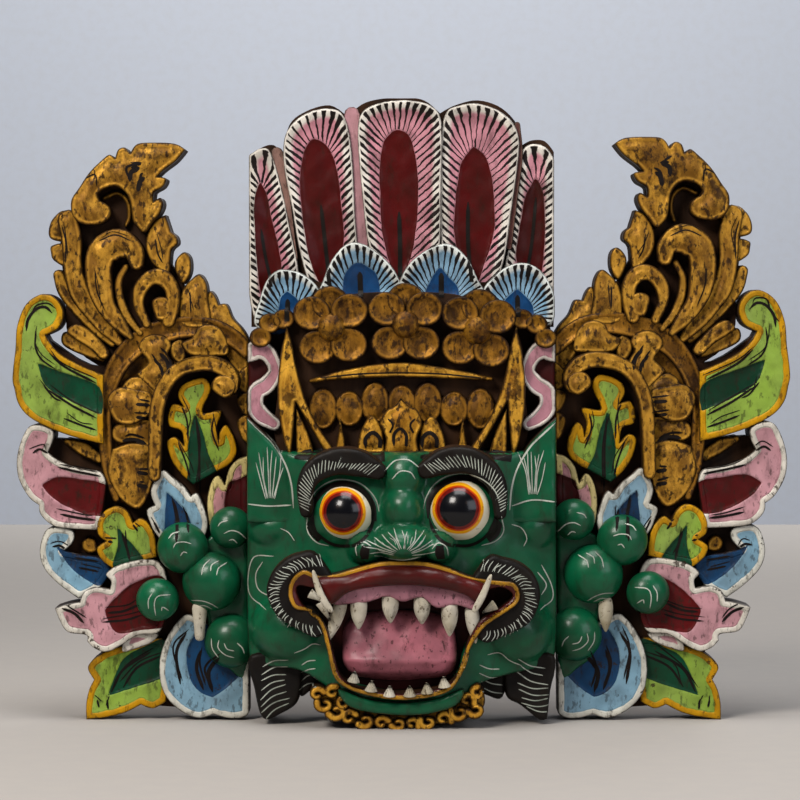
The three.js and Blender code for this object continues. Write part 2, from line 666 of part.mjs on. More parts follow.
// Every row of a carving table as a solid
function carved(rows, depth, place) {
  return rows.flatMap(({ form, high, twin, soft, points }) => {
    const outline = form === "ribbon" ? bandOutline(points) : smoothOutline(points);
    const thinnest = form === "ribbon" ? Math.min(...points.map((point) => point[2])) : Infinity;
    const rounding = soft ? Math.min(edgeRounding, 0.8 * across(thinnest)) : 0;
    const made = [relief(outline.map(place), high * depth, { rounding })];
    if (twin) made.push(relief(outline.map(([x, z]) => place([-x, z])), high * depth, { rounding }));
    return made;
  });
}

// Where a point of the left wing's drawing goes on each wing; side is -1 for the left and 1 for the right
function wingPlace(side) {
  const stretch = side > 0 ? rightWingStretch : 1;
  const lean = side > 0 ? rightWingLean : 0;
  return ([x, z]) => [side * (x + lean * (0.5 - z / squaresHigh)), z * stretch];
}

function palmOf(side) {
  const palm = knuckles.find(({ high }) => high === 1);
  const [x, z] = wingPlace(side)(palm.at);
  return [x, z + (side > 0 ? rightHandRise : 0)];
}

function claw(side, spare = 0) {
  const [x, z] = palmOf(side);
  const root = [x + side * clawOffset[0], z + clawOffset[1]];
  const length = (side < 0 ? leftClawLength : rightClawLength) / squareHeight;
  const shape = side < 0 ? pegClaw : pointedClaw;
  return spike(root, [root[0], root[1] - length], clawDepth, clawRadius, { spare, ...shape });
}

function wing(side) {
  const rows = carved(wingCarving, wingReliefDepth, wingPlace(side));
  const hand = knuckles.map(({ at, radius, high }) => {
    const [x, z] = wingPlace(side)(at);
    const half = across(radius);
    const rise = side > 0 ? rightHandRise : 0;
    const bulge = half * knuckleBulge;
    return mass(across(x), up(z + rise), high * wingDepth - bulge, half, up(radius), bulge);
  });
  const seam = side * (across(seamSquares) + jointGap / 2);
  const pastSeam = block(
    [Math.min(seam, seam - side * wide), -wingDepth - cutPast, -cutPast],
    [Math.max(seam, seam - side * wide), cutPast, tall + cutPast],
  );
  return trimmed(joined([...rows, ...hand])).subtract(pastSeam).subtract(claw(side, jointGap));
}

// The rounded block of the face: a plan shape and a side profile that cut each other
function faceBlock() {
  const low = up(faceProfile[0][0]);
  const top = up(faceProfile.at(-1)[0]);
  const planShape = new THREE.Shape([
    new THREE.Vector2(across(facePlan[0][0]), 0),
    ...facePlan.map(([x, share]) => new THREE.Vector2(across(x), -share * maskDepth)),
    new THREE.Vector2(across(facePlan.at(-1)[0]), 0),
  ]);
  const plan = new THREE.ExtrudeGeometry(planShape, { depth: top - low, bevelEnabled: false });
  plan.translate(0, 0, low);
  const sideShape = new THREE.Shape([
    new THREE.Vector2(0, low),
    ...faceProfile.map(([z, share]) => new THREE.Vector2(-share * maskDepth, up(z))),
    new THREE.Vector2(0, top),
  ]);
  const profile = new THREE.ExtrudeGeometry(sideShape, { depth: wide, bevelEnabled: false });
  const turn = new THREE.Matrix4().makeBasis(
    new THREE.Vector3(0, 1, 0),
    new THREE.Vector3(0, 0, 1),
    new THREE.Vector3(1, 0, 0),
  );
  profile.applyMatrix4(turn);
  profile.translate(-wide / 2, 0, 0);
  const foot = plug(smoothOutline(faceOutline), 0, maskDepth);
  return solidOf(plan).intersect(solidOf(profile)).intersect(foot);
}

// A front fang, or the socket for it when there is room to spare
function frontFang([x, root, tip], spare = 0) {
  return spike([x, root], [x, tip], fangDepth, frontFangRadius, { spare });
}

function cornerFang({ root, tip }, spare = 0) {
  return spike(root, tip, fangDepth, cornerFangRadius, { spare });
}

function flower({ at, turn }) {
  const petals = [];
  for (let i = 0; i < flowerPetals; i += 1) {
    const angle = THREE.MathUtils.degToRad(turn + (i * 360) / flowerPetals);
    const middle = [at[0] + petalReach * Math.cos(angle), at[1] + petalReach * Math.sin(angle)];
    const petal = ellipse(middle, [petalRadius, petalRadius], smallSides, angle);
    petals.push(relief(petal, flowerHigh * maskDepth, { rounding: 0 }));
  }
  const base = ellipse(at, [flowerBaseRadius, flowerBaseRadius], roundSides);
  petals.push(relief(base, flowerBaseHigh * maskDepth, { rounding: 0 }));
  const radius = across(flowerKnobRadius);
  const depth = flowerKnobHigh * maskDepth - radius;
  petals.push(mass(across(at[0]), up(at[1]), depth, radius, radius, radius, roundSides, smallRows));
  return petals;
}

function scallopRow() {
  const { count, first, step, middle, half, high } = scallops;
  return Array.from({ length: count }, (_, i) => {
    const drop = Math.abs(i - (count - 1) / 2) * scallopDrop;
    return relief(ellipse([first + i * step, middle - drop], half, roundSides), high * maskDepth, { rounding: 0 });
  });
}

function mask() {
  const rows = carved(maskCarving, maskDepth, (point) => point);
  const masses = faceMasses.map((entry) => faceMass(entry));
  const solid = joined([faceBlock(), ...masses, ...rows, ...flowers.flatMap(flower), ...scallopRow()]);
  const hollow = plug(smoothOutline(mouthHollow), mouthFloor * maskDepth, maskDepth + cutPast);
  const gum = relief(smoothOutline(gumBand), gumHigh * maskDepth, { from: gumBack * maskDepth });
  const lip = relief(smoothOutline(upperLip), lipHigh * maskDepth, { from: gumBack * maskDepth });
  const tongue = faceMass(tongueMass);
  const teeth = lowerTeeth.map(([x, z]) => mass(
    across(x), up(z), lowerToothDepth * maskDepth, lowerToothRadius, lowerToothLength / 2, lowerToothBulge, smallSides, smallRows,
  ));
  const sockets = [
    ...frontFangs.map((entry) => frontFang(entry, jointGap)),
    ...cornerFangs.map((entry) => cornerFang(entry, jointGap)),
  ];
  const inside = joined([gum, lip, tongue, ...teeth]);
  const seam = across(seamSquares) - jointGap / 2;
  const between = block([-seam, -maskDepth - cutPast, -cutPast], [seam, cutPast, tall + cutPast]);
  return trimmed(solid.subtract(hollow).add(inside)).intersect(between).subtract(joined(sockets));
}

const painted = {
  mask: { color: "#0b5a3a", roughness: 0.35, metalness: 0 },
  left_wing: { color: "#8a6128", roughness: 0.5, metalness: 0 },
  right_wing: { color: "#8a6128", roughness: 0.5, metalness: 0 },
};

const pieces = [
  ["mask", mask()],
  ["left_wing", wing(-1)],
  ["right_wing", wing(1)],
  ...frontFangs.map((entry, i) => [`upper_fang_${i + 1}`, frontFang(entry)]),
  ...cornerFangs.map((entry, i) => [`corner_fang_${i ? "right" : "left"}`, cornerFang(entry)]),
  ...tusks.map((line, i) => [`tusk_${i ? "right" : "left"}`, relief(
    bandOutline(line), lipHigh * maskDepth + jointGap + tuskThickness,
    { from: lipHigh * maskDepth + jointGap, rounding: tuskThickness / 4 },
  )]),
  ["claw_left", claw(-1)],
  ["claw_right", claw(1)],
];

const part = new THREE.Group();
part.name = "barong_mask";
for (const [name, solid] of pieces) {
  const geometry = geometryOf(solid);
  geometry.translate(0, maskDepth / 2, 0);
  const piece = new THREE.Mesh(geometry, finish(painted[name] ?? white));
  piece.name = name;
  part.add(piece);
}

export default part;
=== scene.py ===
import math
import random

import bmesh
import bpy
import numpy as np
from mathutils import Matrix, Vector
from mathutils.bvhtree import BVHTree


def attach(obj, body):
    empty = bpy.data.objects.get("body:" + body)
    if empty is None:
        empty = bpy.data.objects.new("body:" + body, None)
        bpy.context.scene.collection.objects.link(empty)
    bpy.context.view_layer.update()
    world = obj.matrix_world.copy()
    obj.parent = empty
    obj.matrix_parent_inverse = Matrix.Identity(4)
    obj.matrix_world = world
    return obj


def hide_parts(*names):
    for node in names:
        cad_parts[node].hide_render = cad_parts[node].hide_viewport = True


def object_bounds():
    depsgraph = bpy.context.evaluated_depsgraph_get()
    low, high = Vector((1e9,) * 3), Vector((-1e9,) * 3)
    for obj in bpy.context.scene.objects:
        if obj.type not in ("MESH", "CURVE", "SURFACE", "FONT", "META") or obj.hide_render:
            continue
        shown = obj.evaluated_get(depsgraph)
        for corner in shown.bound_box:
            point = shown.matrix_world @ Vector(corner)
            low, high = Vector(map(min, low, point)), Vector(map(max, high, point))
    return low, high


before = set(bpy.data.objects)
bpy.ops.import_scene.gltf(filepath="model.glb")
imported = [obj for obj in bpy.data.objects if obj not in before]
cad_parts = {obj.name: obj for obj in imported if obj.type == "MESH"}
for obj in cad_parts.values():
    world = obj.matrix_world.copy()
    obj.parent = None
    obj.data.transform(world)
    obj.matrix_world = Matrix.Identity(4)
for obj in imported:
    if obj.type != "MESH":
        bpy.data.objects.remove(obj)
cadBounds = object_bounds()
random.seed(11)

# The drawing grid: squares to metres, counted from the middle line and up from the foot
grid = {
    "across": 0.5 / 772,
    "up": 0.402 / 621,
    "seam": 152.5,  # squares from the middle line to the joint with a wing
    "back": 0.052,  # where the flat back lies
    "maskDepth": 0.104,
    "wingDepth": 0.05,
    "wingRelief": 0.044,
    "middle": 0.5,  # the drawing is in whole squares, half a square off the middle line
    "cell": 0.0016,  # size of the mesh that carries the carved surface
    "groundCell": 0.004,
    "shingle": 0.00003,  # how much higher each part lies than the one before
    "wall": 0.004,  # how far paint runs down a part's side
}
rightWing = {"stretch": 1.01, "lean": 8, "handRise": 6}


def banded(rim, mid, core, rimWidth, rough, chips, **more):
    return {"rim": rim, "mid": mid, "core": core, "rimWidth": rimWidth, "rough": rough, "chips": chips, **more}


def plain(color, second, rough, coat, chips, **more):
    return {"color": color, "second": second, "rough": rough, "coat": coat, "chips": chips, **more}


# Paints in bands: rim, middle and core colours, width of the rim in metres, roughness, chips
paints = {
    # pink enamel petals with a white rim and an oxblood middle
    "pinkPaint": banded("#d6d0c4", "#c08c94", "#58090c", 0.0038, 0.42, 0.9),
    # pale blue petals with a white rim and a deep blue middle
    "bluePaint": banded("#d0cfc4", "#779fb4", "#123f66", 0.004, 0.42, 0.9),
    # lime leaves with an ochre rim and a dark green middle
    "leafPaint": banded("#c08c06", "#85a438", "#03422a", 0.0042, 0.42, 0.9, rimShade="#8a6410"),
    # the petal with a cream rim
    "creamPaint": banded("#cdbb78", "#bd868a", "#45090c", 0.0042, 0.42, 0.7),
    # crown feathers: black barbs over white and pink, oxblood middle
    "featherPaint": banded(
        "#dcd6cc", "#c88894", "#4a0505", 0.0056, 0.4, 0.4, barbs=0.0037, barbEdge=0.0012, barbReach=0.019),
    # small blue feathers over the diadem
    "petalPaint": banded(
        "#d2d8d4", "#82abc6", "#0f4272", 0.0046, 0.4, 0.4, barbs=0.0038, barbEdge=0.0012, barbReach=0.016),
    # plain pink side of a feather
    "pinkPlain": banded("#bd8a92", "#bd8a92", "#bd8a92", 0.001, 0.42, 0.6),
    # white painted scroll with a pink back
    "scrollPaint": banded("#cfc6be", "#b8808c", "#b8808c", 0.0024, 0.4, 0.4),
    # bare strips beside the feathers, pink and red gone brown
    "driedPink": banded("#8d6a60", "#8d6a60", "#8d6a60", 0.001, 0.6, 0.8),
    "driedRed": banded("#451414", "#451414", "#451414", 0.001, 0.6, 0.6),
}
# Paints of one colour: colour, second colour, roughness, gloss coat, chips
plainPaints = {
    # green enamel, the thick gloss coat of the face and hands
    "greenEnamel": plain("#02482c", "#065c3a", 0.3, 0.12, 0.35, under="#5f7a5c"),
    "blackPaint": plain("#0d0b0a", "#191613", 0.45, 0.0, 0.2),
    "whitePaint": plain("#bdc2b6", "#8f968a", 0.55, 0.0, 0.35),
    "yellowPaint": plain("#b98410", "#8a620e", 0.4, 0.1, 0.4),
    "lipPaint": plain("#520604", "#300704", 0.32, 0.08, 0.25),
    "oxbloodPaint": plain("#400a0a", "#1f0808", 0.5, 0.0, 0.2),
    "gumPaint": plain("#b47c88", "#84505e", 0.4, 0.05, 0.8, under="#2a1214", specks="#2a1214"),
    "tonguePaint": plain("#ae6470", "#84505a", 0.42, 0.05, 0.8, under="#3a1a1c", specks="#3a181a"),
    "toothIvory": plain("#d6d0c0", "#a2977c", 0.5, 0.0, 0.6, specks="#4a3a26"),
    # a flat dark for knife cuts and lines, and painted shade for the nostril holes
    "darkPocket": plain("#0c0807", "#140d0b", 0.7, 0.0, 0.0),
}
# Bronze-powder golds: where it is bright, worn and rubbed through; the bright colour also paints a highlight along the
# rims
golds = {
    "goldPaint": ("#b8872e", "#755018", "#281709"),
    "darkGold": ("#8a6019", "#55350d", "#201207"),
    "bronzePaint": ("#94661e", "#5c3c10", "#241407"),
    "brightGold": ("#cf9a34", "#94651a", "#3a220c"),
}
white, black, dark = "whitePaint", "blackPaint", "darkPocket"
layerNames = ("edge", "core", "phase", "rise")  # what each vertex of the carving tells its paint


tree = None  # the node tree that the helpers add to


def linear(hexColor):
    values = [int(hexColor[i : i + 2], 16) / 255 for i in (1, 3, 5)]
    return tuple(v / 12.92 if v < 0.04045 else ((v + 0.055) / 1.055) ** 2.4 for v in values) + (1.0,)


def newMaterial(name):
    global tree
    made = bpy.data.materials.new(name)
    made.use_nodes = True
    tree = made.node_tree
    tree.nodes.clear()
    return made


def addNode(kind, settings=None, links=None, out=0):
    made = tree.nodes.new("ShaderNode" + kind)
    for key, value in (settings or {}).items():
        setattr(made, key, value)
    for key, value in (links or {}).items():
        if isinstance(value, bpy.types.NodeSocket):
            tree.links.new(value, made.inputs[key])
        else:
            made.inputs[key].default_value = linear(value) if isinstance(value, str) else value
    return made.outputs[out]


def noise(scale, detail=4.0, stretch=(1, 1, 1), rough=0.55):
    spot = addNode("Mapping", None, {"Vector": addNode("TexCoord", out=3), "Scale": stretch})
    return addNode("TexNoise", None, {"Vector": spot, "Scale": scale, "Detail": detail, "Roughness": rough})


def step(value, low, high, start=0.0, end=1.0):
    links = {"Value": value, "From Min": low, "From Max": high, "To Min": start, "To Max": end}
    return addNode("MapRange", None, links)


def reckon(operation, a, b=0.0, clamp=False):
    return addNode("Math", {"operation": operation, "use_clamp": clamp}, {0: a, 1: b})


def times(a, b, clamp=False):
    return reckon("MULTIPLY", a, b, clamp)


def less(a, b):
    return reckon("SUBTRACT", a, b)


def more(a, b):
    return reckon("ADD", a, b)


# Noise about nothing, as the unsteady hand that lays a line of paint
def unsteady(scale, detail, size):
    return times(less(noise(scale, detail), 0.5), size)


def attribute(name):
    return addNode("Attribute", {"attribute_name": name}, out=2)


# One colour laid over another where the mask says; a colour is a socket or a hex value
def over(under, colour, mask):
    return addNode("Mix", {"data_type": "RGBA"}, {0: mask, 6: under, 7: colour}, out=2)


def finishSurface(colour, rough, bumps, metallic=0.0, coat=0.0):
    normal = None
    for height, strength, distance in bumps:
        links = {"Height": height, "Strength": strength, "Distance": distance}
        if normal is not None:
            links["Normal"] = normal
        normal = addNode("Bump", None, links)
    shine = addNode("BsdfPrincipled", None, {
        "Base Color": colour, "Roughness": rough, "Metallic": metallic, "IOR": 1.5, "Normal": normal,
        "Specular IOR Level": 0.24 if coat else 0.13, "Coat Weight": coat, "Coat Roughness": 0.12,
    })
    tree.links.new(shine, tree.nodes.new("ShaderNodeOutputMaterial").inputs[0])


# Grime, chips, a thin dark line of grime and painted shade along each edge, and painted shade darkening the walls into
# the gaps, that every painted part shares
def wornPaintAndShade(colour, edge, rise, chips, under="#2c1d12"):
    colour = over(colour, "#1c130c", step(noise(45, 5), 0.4, 0.72, 0.0, 0.42))
    streaks = noise(130, 6, (1, 1, 0.4), 0.72)
    colour = over(colour, "#23180f", step(streaks, 0.53, 0.68, 0.0, 0.5 if chips > 0.3 else 0.2))
    fine = noise(260, 6, rough=0.7)
    chance = times(step(noise(38, 3), 0.48, 0.66), chips)
    nearEdge = step(edge, 0.0035, 0.0004, 0.0, 0.06 if chips else 0.0)
    level = less(less(0.75, times(chance, 0.22)), nearEdge)
    chipped = times(less(fine, level), 40.0, clamp=True)
    colour = over(colour, under, times(chipped, 0.85))
    # A ragged dark line along each part's edge: partly grime, partly painted shade where the part drops to the gap
    # beside it
    ragged = more(edge, times(less(fine, 0.5), -0.0022))
    colour = over(colour, "#1d130d", step(ragged, 0.0007, 0.0002, 0.0, 0.8))
    # The paint darkens going down the walls into the gaps between parts: painted shade
    return over(colour, "#1b120d", step(rise, 0.93, 0.8)), chipped, fine


# Enamel in bands from the edge inwards, with a dark middle and, on feathers, black barbs
def bandedPaint(name, look):
    made = newMaterial(name)
    edge, core, phase, rise = (attribute(key) for key in layerNames)
    wobble = unsteady(90, 3, 0.0022)
    edgeHand = more(edge, wobble)
    inCore = step(more(core, times(wobble, 0.6)), -0.00015, 0.00015)
    shade = step(noise(30, 4, (1, 1, 0.35)), 0.3, 0.7)
    rim = over(look["rim"], look.get("rimShade", "#978d78"), times(shade, 0.4))
    mid = over(look["mid"], "#7d6f66", times(shade, 0.25))
    deep = over(look["core"], "#0d0908", step(noise(22, 4, (1, 1, 0.3)), 0.4, 0.75, 0.0, 0.6))
    blend = 0.0012 if "barbs" in look else 0.0002
    inRim = step(edgeHand, look["rimWidth"] - blend, look["rimWidth"] + blend)
    colour = over(over(rim, mid, inRim), deep, inCore)
    coreLip = step(reckon("ABSOLUTE", core), 0.0, 0.0006, -1.0, 0.0)
    if "barbs" in look:
        turns = reckon("DIVIDE", more(phase, unsteady(150, 2, 0.0022)), look["barbs"])
        ripple = reckon("ABSOLUTE", less(reckon("FRACT", turns), 0.5))
        width = step(edge, look["barbEdge"], look["barbReach"], 0.3, 0.13)
        varied = times(width, step(noise(75, 1), 0.3, 0.7, 0.65, 1.35))
        started = step(edgeHand, look["barbEdge"] - 0.0002, look["barbEdge"] + 0.0003)
        barb = times(times(less(varied, ripple), 14.0, clamp=True), started)
        barb = times(barb, step(core, 0.0001, -0.0004))
        colour = over(colour, "#15100f", barb)
        grooves = times(barb, -0.7)
    else:
        grooves = step(reckon("ABSOLUTE", less(edgeHand, look["rimWidth"])), 0.0, 0.0007, -1.0, 0.0)
    if look["chips"] > 0.6:  # leaves and petals have gone grimy in their pores
        colour = over(colour, "#241c14", step(noise(330, 4, (1, 1, 0.5)), 0.57, 0.64, 0.0, 0.55))
    colour, chipped, fine = wornPaintAndShade(colour, edge, rise, look["chips"])
    rough = step(fine, 0.3, 0.7, look["rough"] - 0.06, look["rough"] + 0.14)
    bumps = [(grooves, 0.55, 0.0008), (coreLip, 0.4, 0.0007), (noise(120, 5), 0.22, 0.0008), (chipped, 0.3, -0.0002)]
    finishSurface(colour, rough, bumps)
    return made


# Paint of one colour, uneven and specked with grime
def plainPaint(name, look):
    made = newMaterial(name)
    edge, rise = attribute("edge"), attribute("rise")
    colour = over(look["color"], look["second"], step(noise(35, 4), 0.35, 0.7))
    if "specks" in look:
        colour = over(colour, look["specks"], step(noise(380, 3, (1, 1, 0.6)), 0.6, 0.66, 0.0, 0.75))
    colour, chipped, fine = wornPaintAndShade(colour, edge, rise, look["chips"], look.get("under", "#2c1d12"))
    rough = step(fine, 0.3, 0.7, look["rough"] - 0.03, look["rough"] + 0.1)
    finishSurface(colour, rough, [(noise(70, 4), 0.18, 0.0012), (chipped, 0.3, -0.0002)], coat=look["coat"])
    return made


# Bronze-powder gold over dark brown wood, rubbed through in streaks, with a painted highlight on each rim and painted
# shade along the edges and down the walls
def goldPaint(name, bright, mid, dark):
    made = newMaterial(name)
    edge, rise = attribute("edge"), attribute("rise")
    streaks = noise(95, 6, (1, 1, 0.45), 0.7)
    colour = over(mid, bright, step(streaks, 0.44, 0.6))
    lip = reckon("ABSOLUTE", less(edge, 0.0022))
    for shade, mask in (
        (dark, step(noise(70, 6, rough=0.7), 0.5, 0.62, 0.0, 0.85)),
        # a painted highlight on the rounded shoulder just inside each edge
        (bright, step(lip, 0.0012, 0.0, 0.0, 0.6)),
        ("#2a1a0e", step(noise(300, 4, (1, 1, 0.6)), 0.54, 0.63, 0.0, 0.9)),
        # painted shade where the edge rounds down to the gap
        ("#1a0f09", step(edge, 0.0015, 0.0002, 0.0, 0.9)),
        # painted shade down the walls into the gaps between parts
        ("#150d09", step(rise, 0.95, 0.8)),
    ):
        colour = over(colour, shade, mask)
    bumps = [(noise(110, 6, (1, 1, 0.5)), 0.6, 0.0016), (noise(420, 3), 0.3, 0.0005)]
    finishSurface(colour, step(streaks, 0.3, 0.7, 0.56, 0.4), bumps, metallic=0.35)
    return made


# Stained wood down between the carved leaves, and the bare back
def woodGround(name, colour, second):
    made = newMaterial(name)
    grain = noise(60, 6, (1, 1, 0.08), 0.6)
    finishSurface(over(colour, second, step(grain, 0.35, 0.68)), 0.68, [(grain, 0.35, 0.0008)])
    return made


# Rings of enamel round a black pupil: oxblood, orange, yellow, white
def eyePaint(name):
    made = newMaterial(name)
    radius = more(attribute("edge"), unsteady(70, 2, 0.08))
    colour = "#07070b"
    for start, ring in ((0.56, "#5e0c06"), (0.66, "#b0380a"), (0.71, "#dc9a12"), (0.81, "#d8d0b6")):
        colour = over(colour, ring, step(radius, start - 0.015, start + 0.015))
    colour = over(colour, "#2a1a10", step(noise(200, 4), 0.62, 0.7, 0.0, 0.35))
    finishSurface(colour, 0.2, [(noise(90, 3), 0.12, 0.0006)], coat=0.15)
    return made


materials = {name: bandedPaint(name, look) for name, look in paints.items()}
materials.update({name: plainPaint(name, look) for name, look in plainPaints.items()})
for name, shades in golds.items():
    materials[name] = goldPaint(name, *shades)
materials["darkGround"] = woodGround("darkGround", "#1c1008", "#382211")
materials["bareWood"] = woodGround("bareWood", "#6b4a30", "#8a6644")
materials["eyeEnamel"] = eyePaint("eyeEnamel")
materialNames = list(materials)
print("materials made:", len(materialNames))


# Points of a drawn line, "across up" in squares; a third value marks a corner, or gives a band's half width
def squares(text):
    spots = [[float(v) for v in spot.split()] for spot in text.split(",")]
    return [(x + grid["middle"], *rest) for x, *rest in spots]


def metres(points):
    return np.array([p[:2] for p in points], float) * (grid["across"], grid["up"])


# One smooth stretch from start to end, by how it leaves and arrives
def stretchOf(start, end, leave, arrive, steps):
    line = []
    for s in range(steps):
        t = s / steps
        line.append(
            (2 * t**3 - 3 * t**2 + 1) * start + (t**3 - 2 * t**2 + t) * leave
            + (3 * t**2 - 2 * t**3) * end + (t**3 - t**2) * arrive
        )
    return line


# A closed outline through the points, smooth except at corners
def smoothOutline(points, steps=5):
    count, line = len(points), []
    for i in range(count):
        before, start, end, after = (np.array(points[(i + k) % count][:2], float) for k in (-1, 0, 1, 2))
        leave = np.zeros(2) if len(points[i]) > 2 else (end - before) / 2
        arrive = np.zeros(2) if len(points[(i + 1) % count]) > 2 else (after - start) / 2
        line += stretchOf(start, end, leave, arrive, steps)
    return np.array(line)


# An open smooth line through points of any width
def smoothLine(points, steps):
    points = [np.array(p, float) for p in points]
    line = []
    for i in range(len(points) - 1):
        start, end = points[i], points[i + 1]
        leave = (end - points[i - 1]) / 2 if i else end - start
        arrive = (points[i + 2] - start) / 2 if i + 2 < len(points) else end - start
        line += stretchOf(start, end, leave, arrive, steps)
    return np.array(line + [points[-1]])


# Unit vectors along a line and square to it
def alongAndAcross(line):
    ahead = np.gradient(line, axis=0)
    ahead /= np.linalg.norm(ahead, axis=1)[:, None] + 1e-9
    return ahead, np.stack([-ahead[:, 1], ahead[:, 0]], axis=1)


# The outline of a band with round ends
def bandOutline(points, steps=5):
    line = smoothLine(points, steps)
    ahead, side = alongAndAcross(line[:, :2])
    left = line[:, :2] + side * line[:, 2:3]
    right = line[:, :2] - side * line[:, 2:3]
    turns = [math.pi / 2 - math.pi * k / 5 for k in range(1, 5)]
    caps = []
    for end, sign in ((-1, 1), (0, -1)):
        reach = line[end, 2] * sign
        caps.append([line[end, :2] + reach * (math.cos(a) * ahead[end] + math.sin(a) * side[end]) for a in turns])
    return np.array([*left, *caps[0], *right[::-1], *caps[1]])


# The outline that a row of points stands for: a band where every point has a half width
def drawn(text):
    points = squares(text)
    return bandOutline(points) if all(len(p) > 2 for p in points) else smoothOutline(points)


def ellipse(middle, half, count, turn=0.0):
    angles = [turn + 2 * math.pi * i / count for i in range(count)]
    return np.array([(middle[0] + half[0] * math.cos(a), middle[1] + half[1] * math.sin(a)) for a in angles])


# Distance of points to a closed outline, how far round it the nearest spot is, and whether they lie inside
def distanceTo(points, outline):
    a, b = outline, np.roll(outline, -1, axis=0)
    span = b - a
    length = np.linalg.norm(span, axis=1) + 1e-12
    away = points[:, None, :] - a[None]
    t = np.clip((away * span[None]).sum(2) / (length**2)[None], 0, 1)
    gap = np.linalg.norm(away - t[..., None] * span[None], axis=2)
    best = gap.argmin(axis=1)
    rows = np.arange(len(points))
    along = np.concatenate([[0], np.cumsum(length)[:-1]])[best] + t[rows, best] * length[best]
    x, z = points[:, 0:1], points[:, 1:2]
    edgeAt = span[:, 0] * (z - a[:, 1]) / np.where(span[:, 1] == 0, 1e-12, span[:, 1]) + a[:, 0]
    crosses = ((a[:, 1] > z) != (b[:, 1] > z)) & (x < edgeAt)
    return gap[rows, best], along, crosses.sum(axis=1) % 2 == 1


def ease(value, low, high):
    t = np.clip((value - low) / (high - low), 0, 1)
    return t * t * (3 - 2 * t)


# How far a surface falls towards its rounded edge
def rounded(edge, radius):
    d = np.clip(edge, 0, radius)
    return radius - np.sqrt(np.maximum(radius**2 - (radius - d) ** 2, 0))


# The small unevenness that a knife leaves, in metres
def handWaver(x, z, size=0.00035):
    return size * (np.sin(x * 410 + 1.3 * np.sin(z * 290)) + np.sin(z * 350 + 1.7 * np.sin(x * 230 + 2))) / 2


def newMesh():
    made = bmesh.new()
    for key in layerNames:
        made.verts.layers.float.new(key)
    return made


def newCarving():
    return {"mesh": newMesh(), "count": 0}


def paintFaces(faces, paint, smooth=True):
    for f in faces:
        f.material_index = materialNames.index(paint)
        f.smooth = smooth


def tagVerts(made):
    for key, value in zip(layerNames, (0.01, -0.05, 0.0, 1.0)):
        layer = made.verts.layers.float[key]
        for v in made.verts:
            v[layer] = value


def appendMesh(carving, made):
    mesh = bpy.data.meshes.new("part")
    made.to_mesh(mesh)
    made.free()
    carving["mesh"].from_mesh(mesh)
    bpy.data.meshes.remove(mesh)
    carving["count"] += 1


# Barbs fan out round the focus up to a limit angle, then run side by side down to the foot
def barbPhase(points, focus, foot, radius, limit):
    focus, foot = np.array(focus), np.array(foot)
    upward = (focus - foot) / np.linalg.norm(focus - foot)
    away = points - focus
    v = away @ upward
    u = np.abs(away @ np.array([upward[1], -upward[0]]))
    angle = np.arctan2(u, v)
    turned = v * math.sin(limit) - u * math.cos(limit)
    return radius * np.minimum(angle, limit) + np.maximum(0, -turned)


# Fills an outline in metres and cuts it into fine cells, with thin rings inside its edge
def cutSheet(made, outline, hole, cell, insets):
    diagonal = made.edges.layers.int.new("diagonal")
    ringed = made.faces.layers.int.new("ringed")
    border = []
    for loop in ([outline] if hole is None else [outline, hole]):
        corners = [made.verts.new((x, 0, z)) for x, z in loop]
        border += [made.edges.new((corners[i - 1], corners[i])) for i in range(len(corners))]
    bmesh.ops.triangle_fill(made, use_beauty=True, use_dissolve=False, edges=border)
    for e in made.edges:
        e[diagonal] = 0 if e.is_boundary else 1
    bmesh.ops.recalc_face_normals(made, faces=made.faces[:])
    for width in insets:
        inner = [f for f in made.faces if not f[ringed]]
        rings = bmesh.ops.inset_region(
            made, faces=inner, thickness=width, depth=0, use_boundary=True, use_even_offset=False)
        for f in rings["faces"]:
            f[ringed] = 1
    low, high = outline.min(axis=0), outline.max(axis=0)
    for axis, normal in ((0, (1, 0, 0)), (1, (0, 0, 1))):
        start = math.ceil(low[axis] / cell) * cell
        for k in range(int((high[axis] - start) / cell) + 1):
            spot = [0, 0, 0]
            spot[2 * axis] = start + k * cell
            geometry = made.verts[:] + made.edges[:] + made.faces[:]
            bmesh.ops.bisect_plane(made, geom=geometry, dist=1e-7, plane_co=spot, plane_no=normal)
    diagonals = [e for e in made.edges if e[diagonal] == 1 and not e.is_boundary]
    bmesh.ops.dissolve_edges(made, edges=diagonals, use_verts=False, use_face_split=False)
    bmesh.ops.triangulate(made, faces=[f for f in made.faces if len(f.verts) > 4])


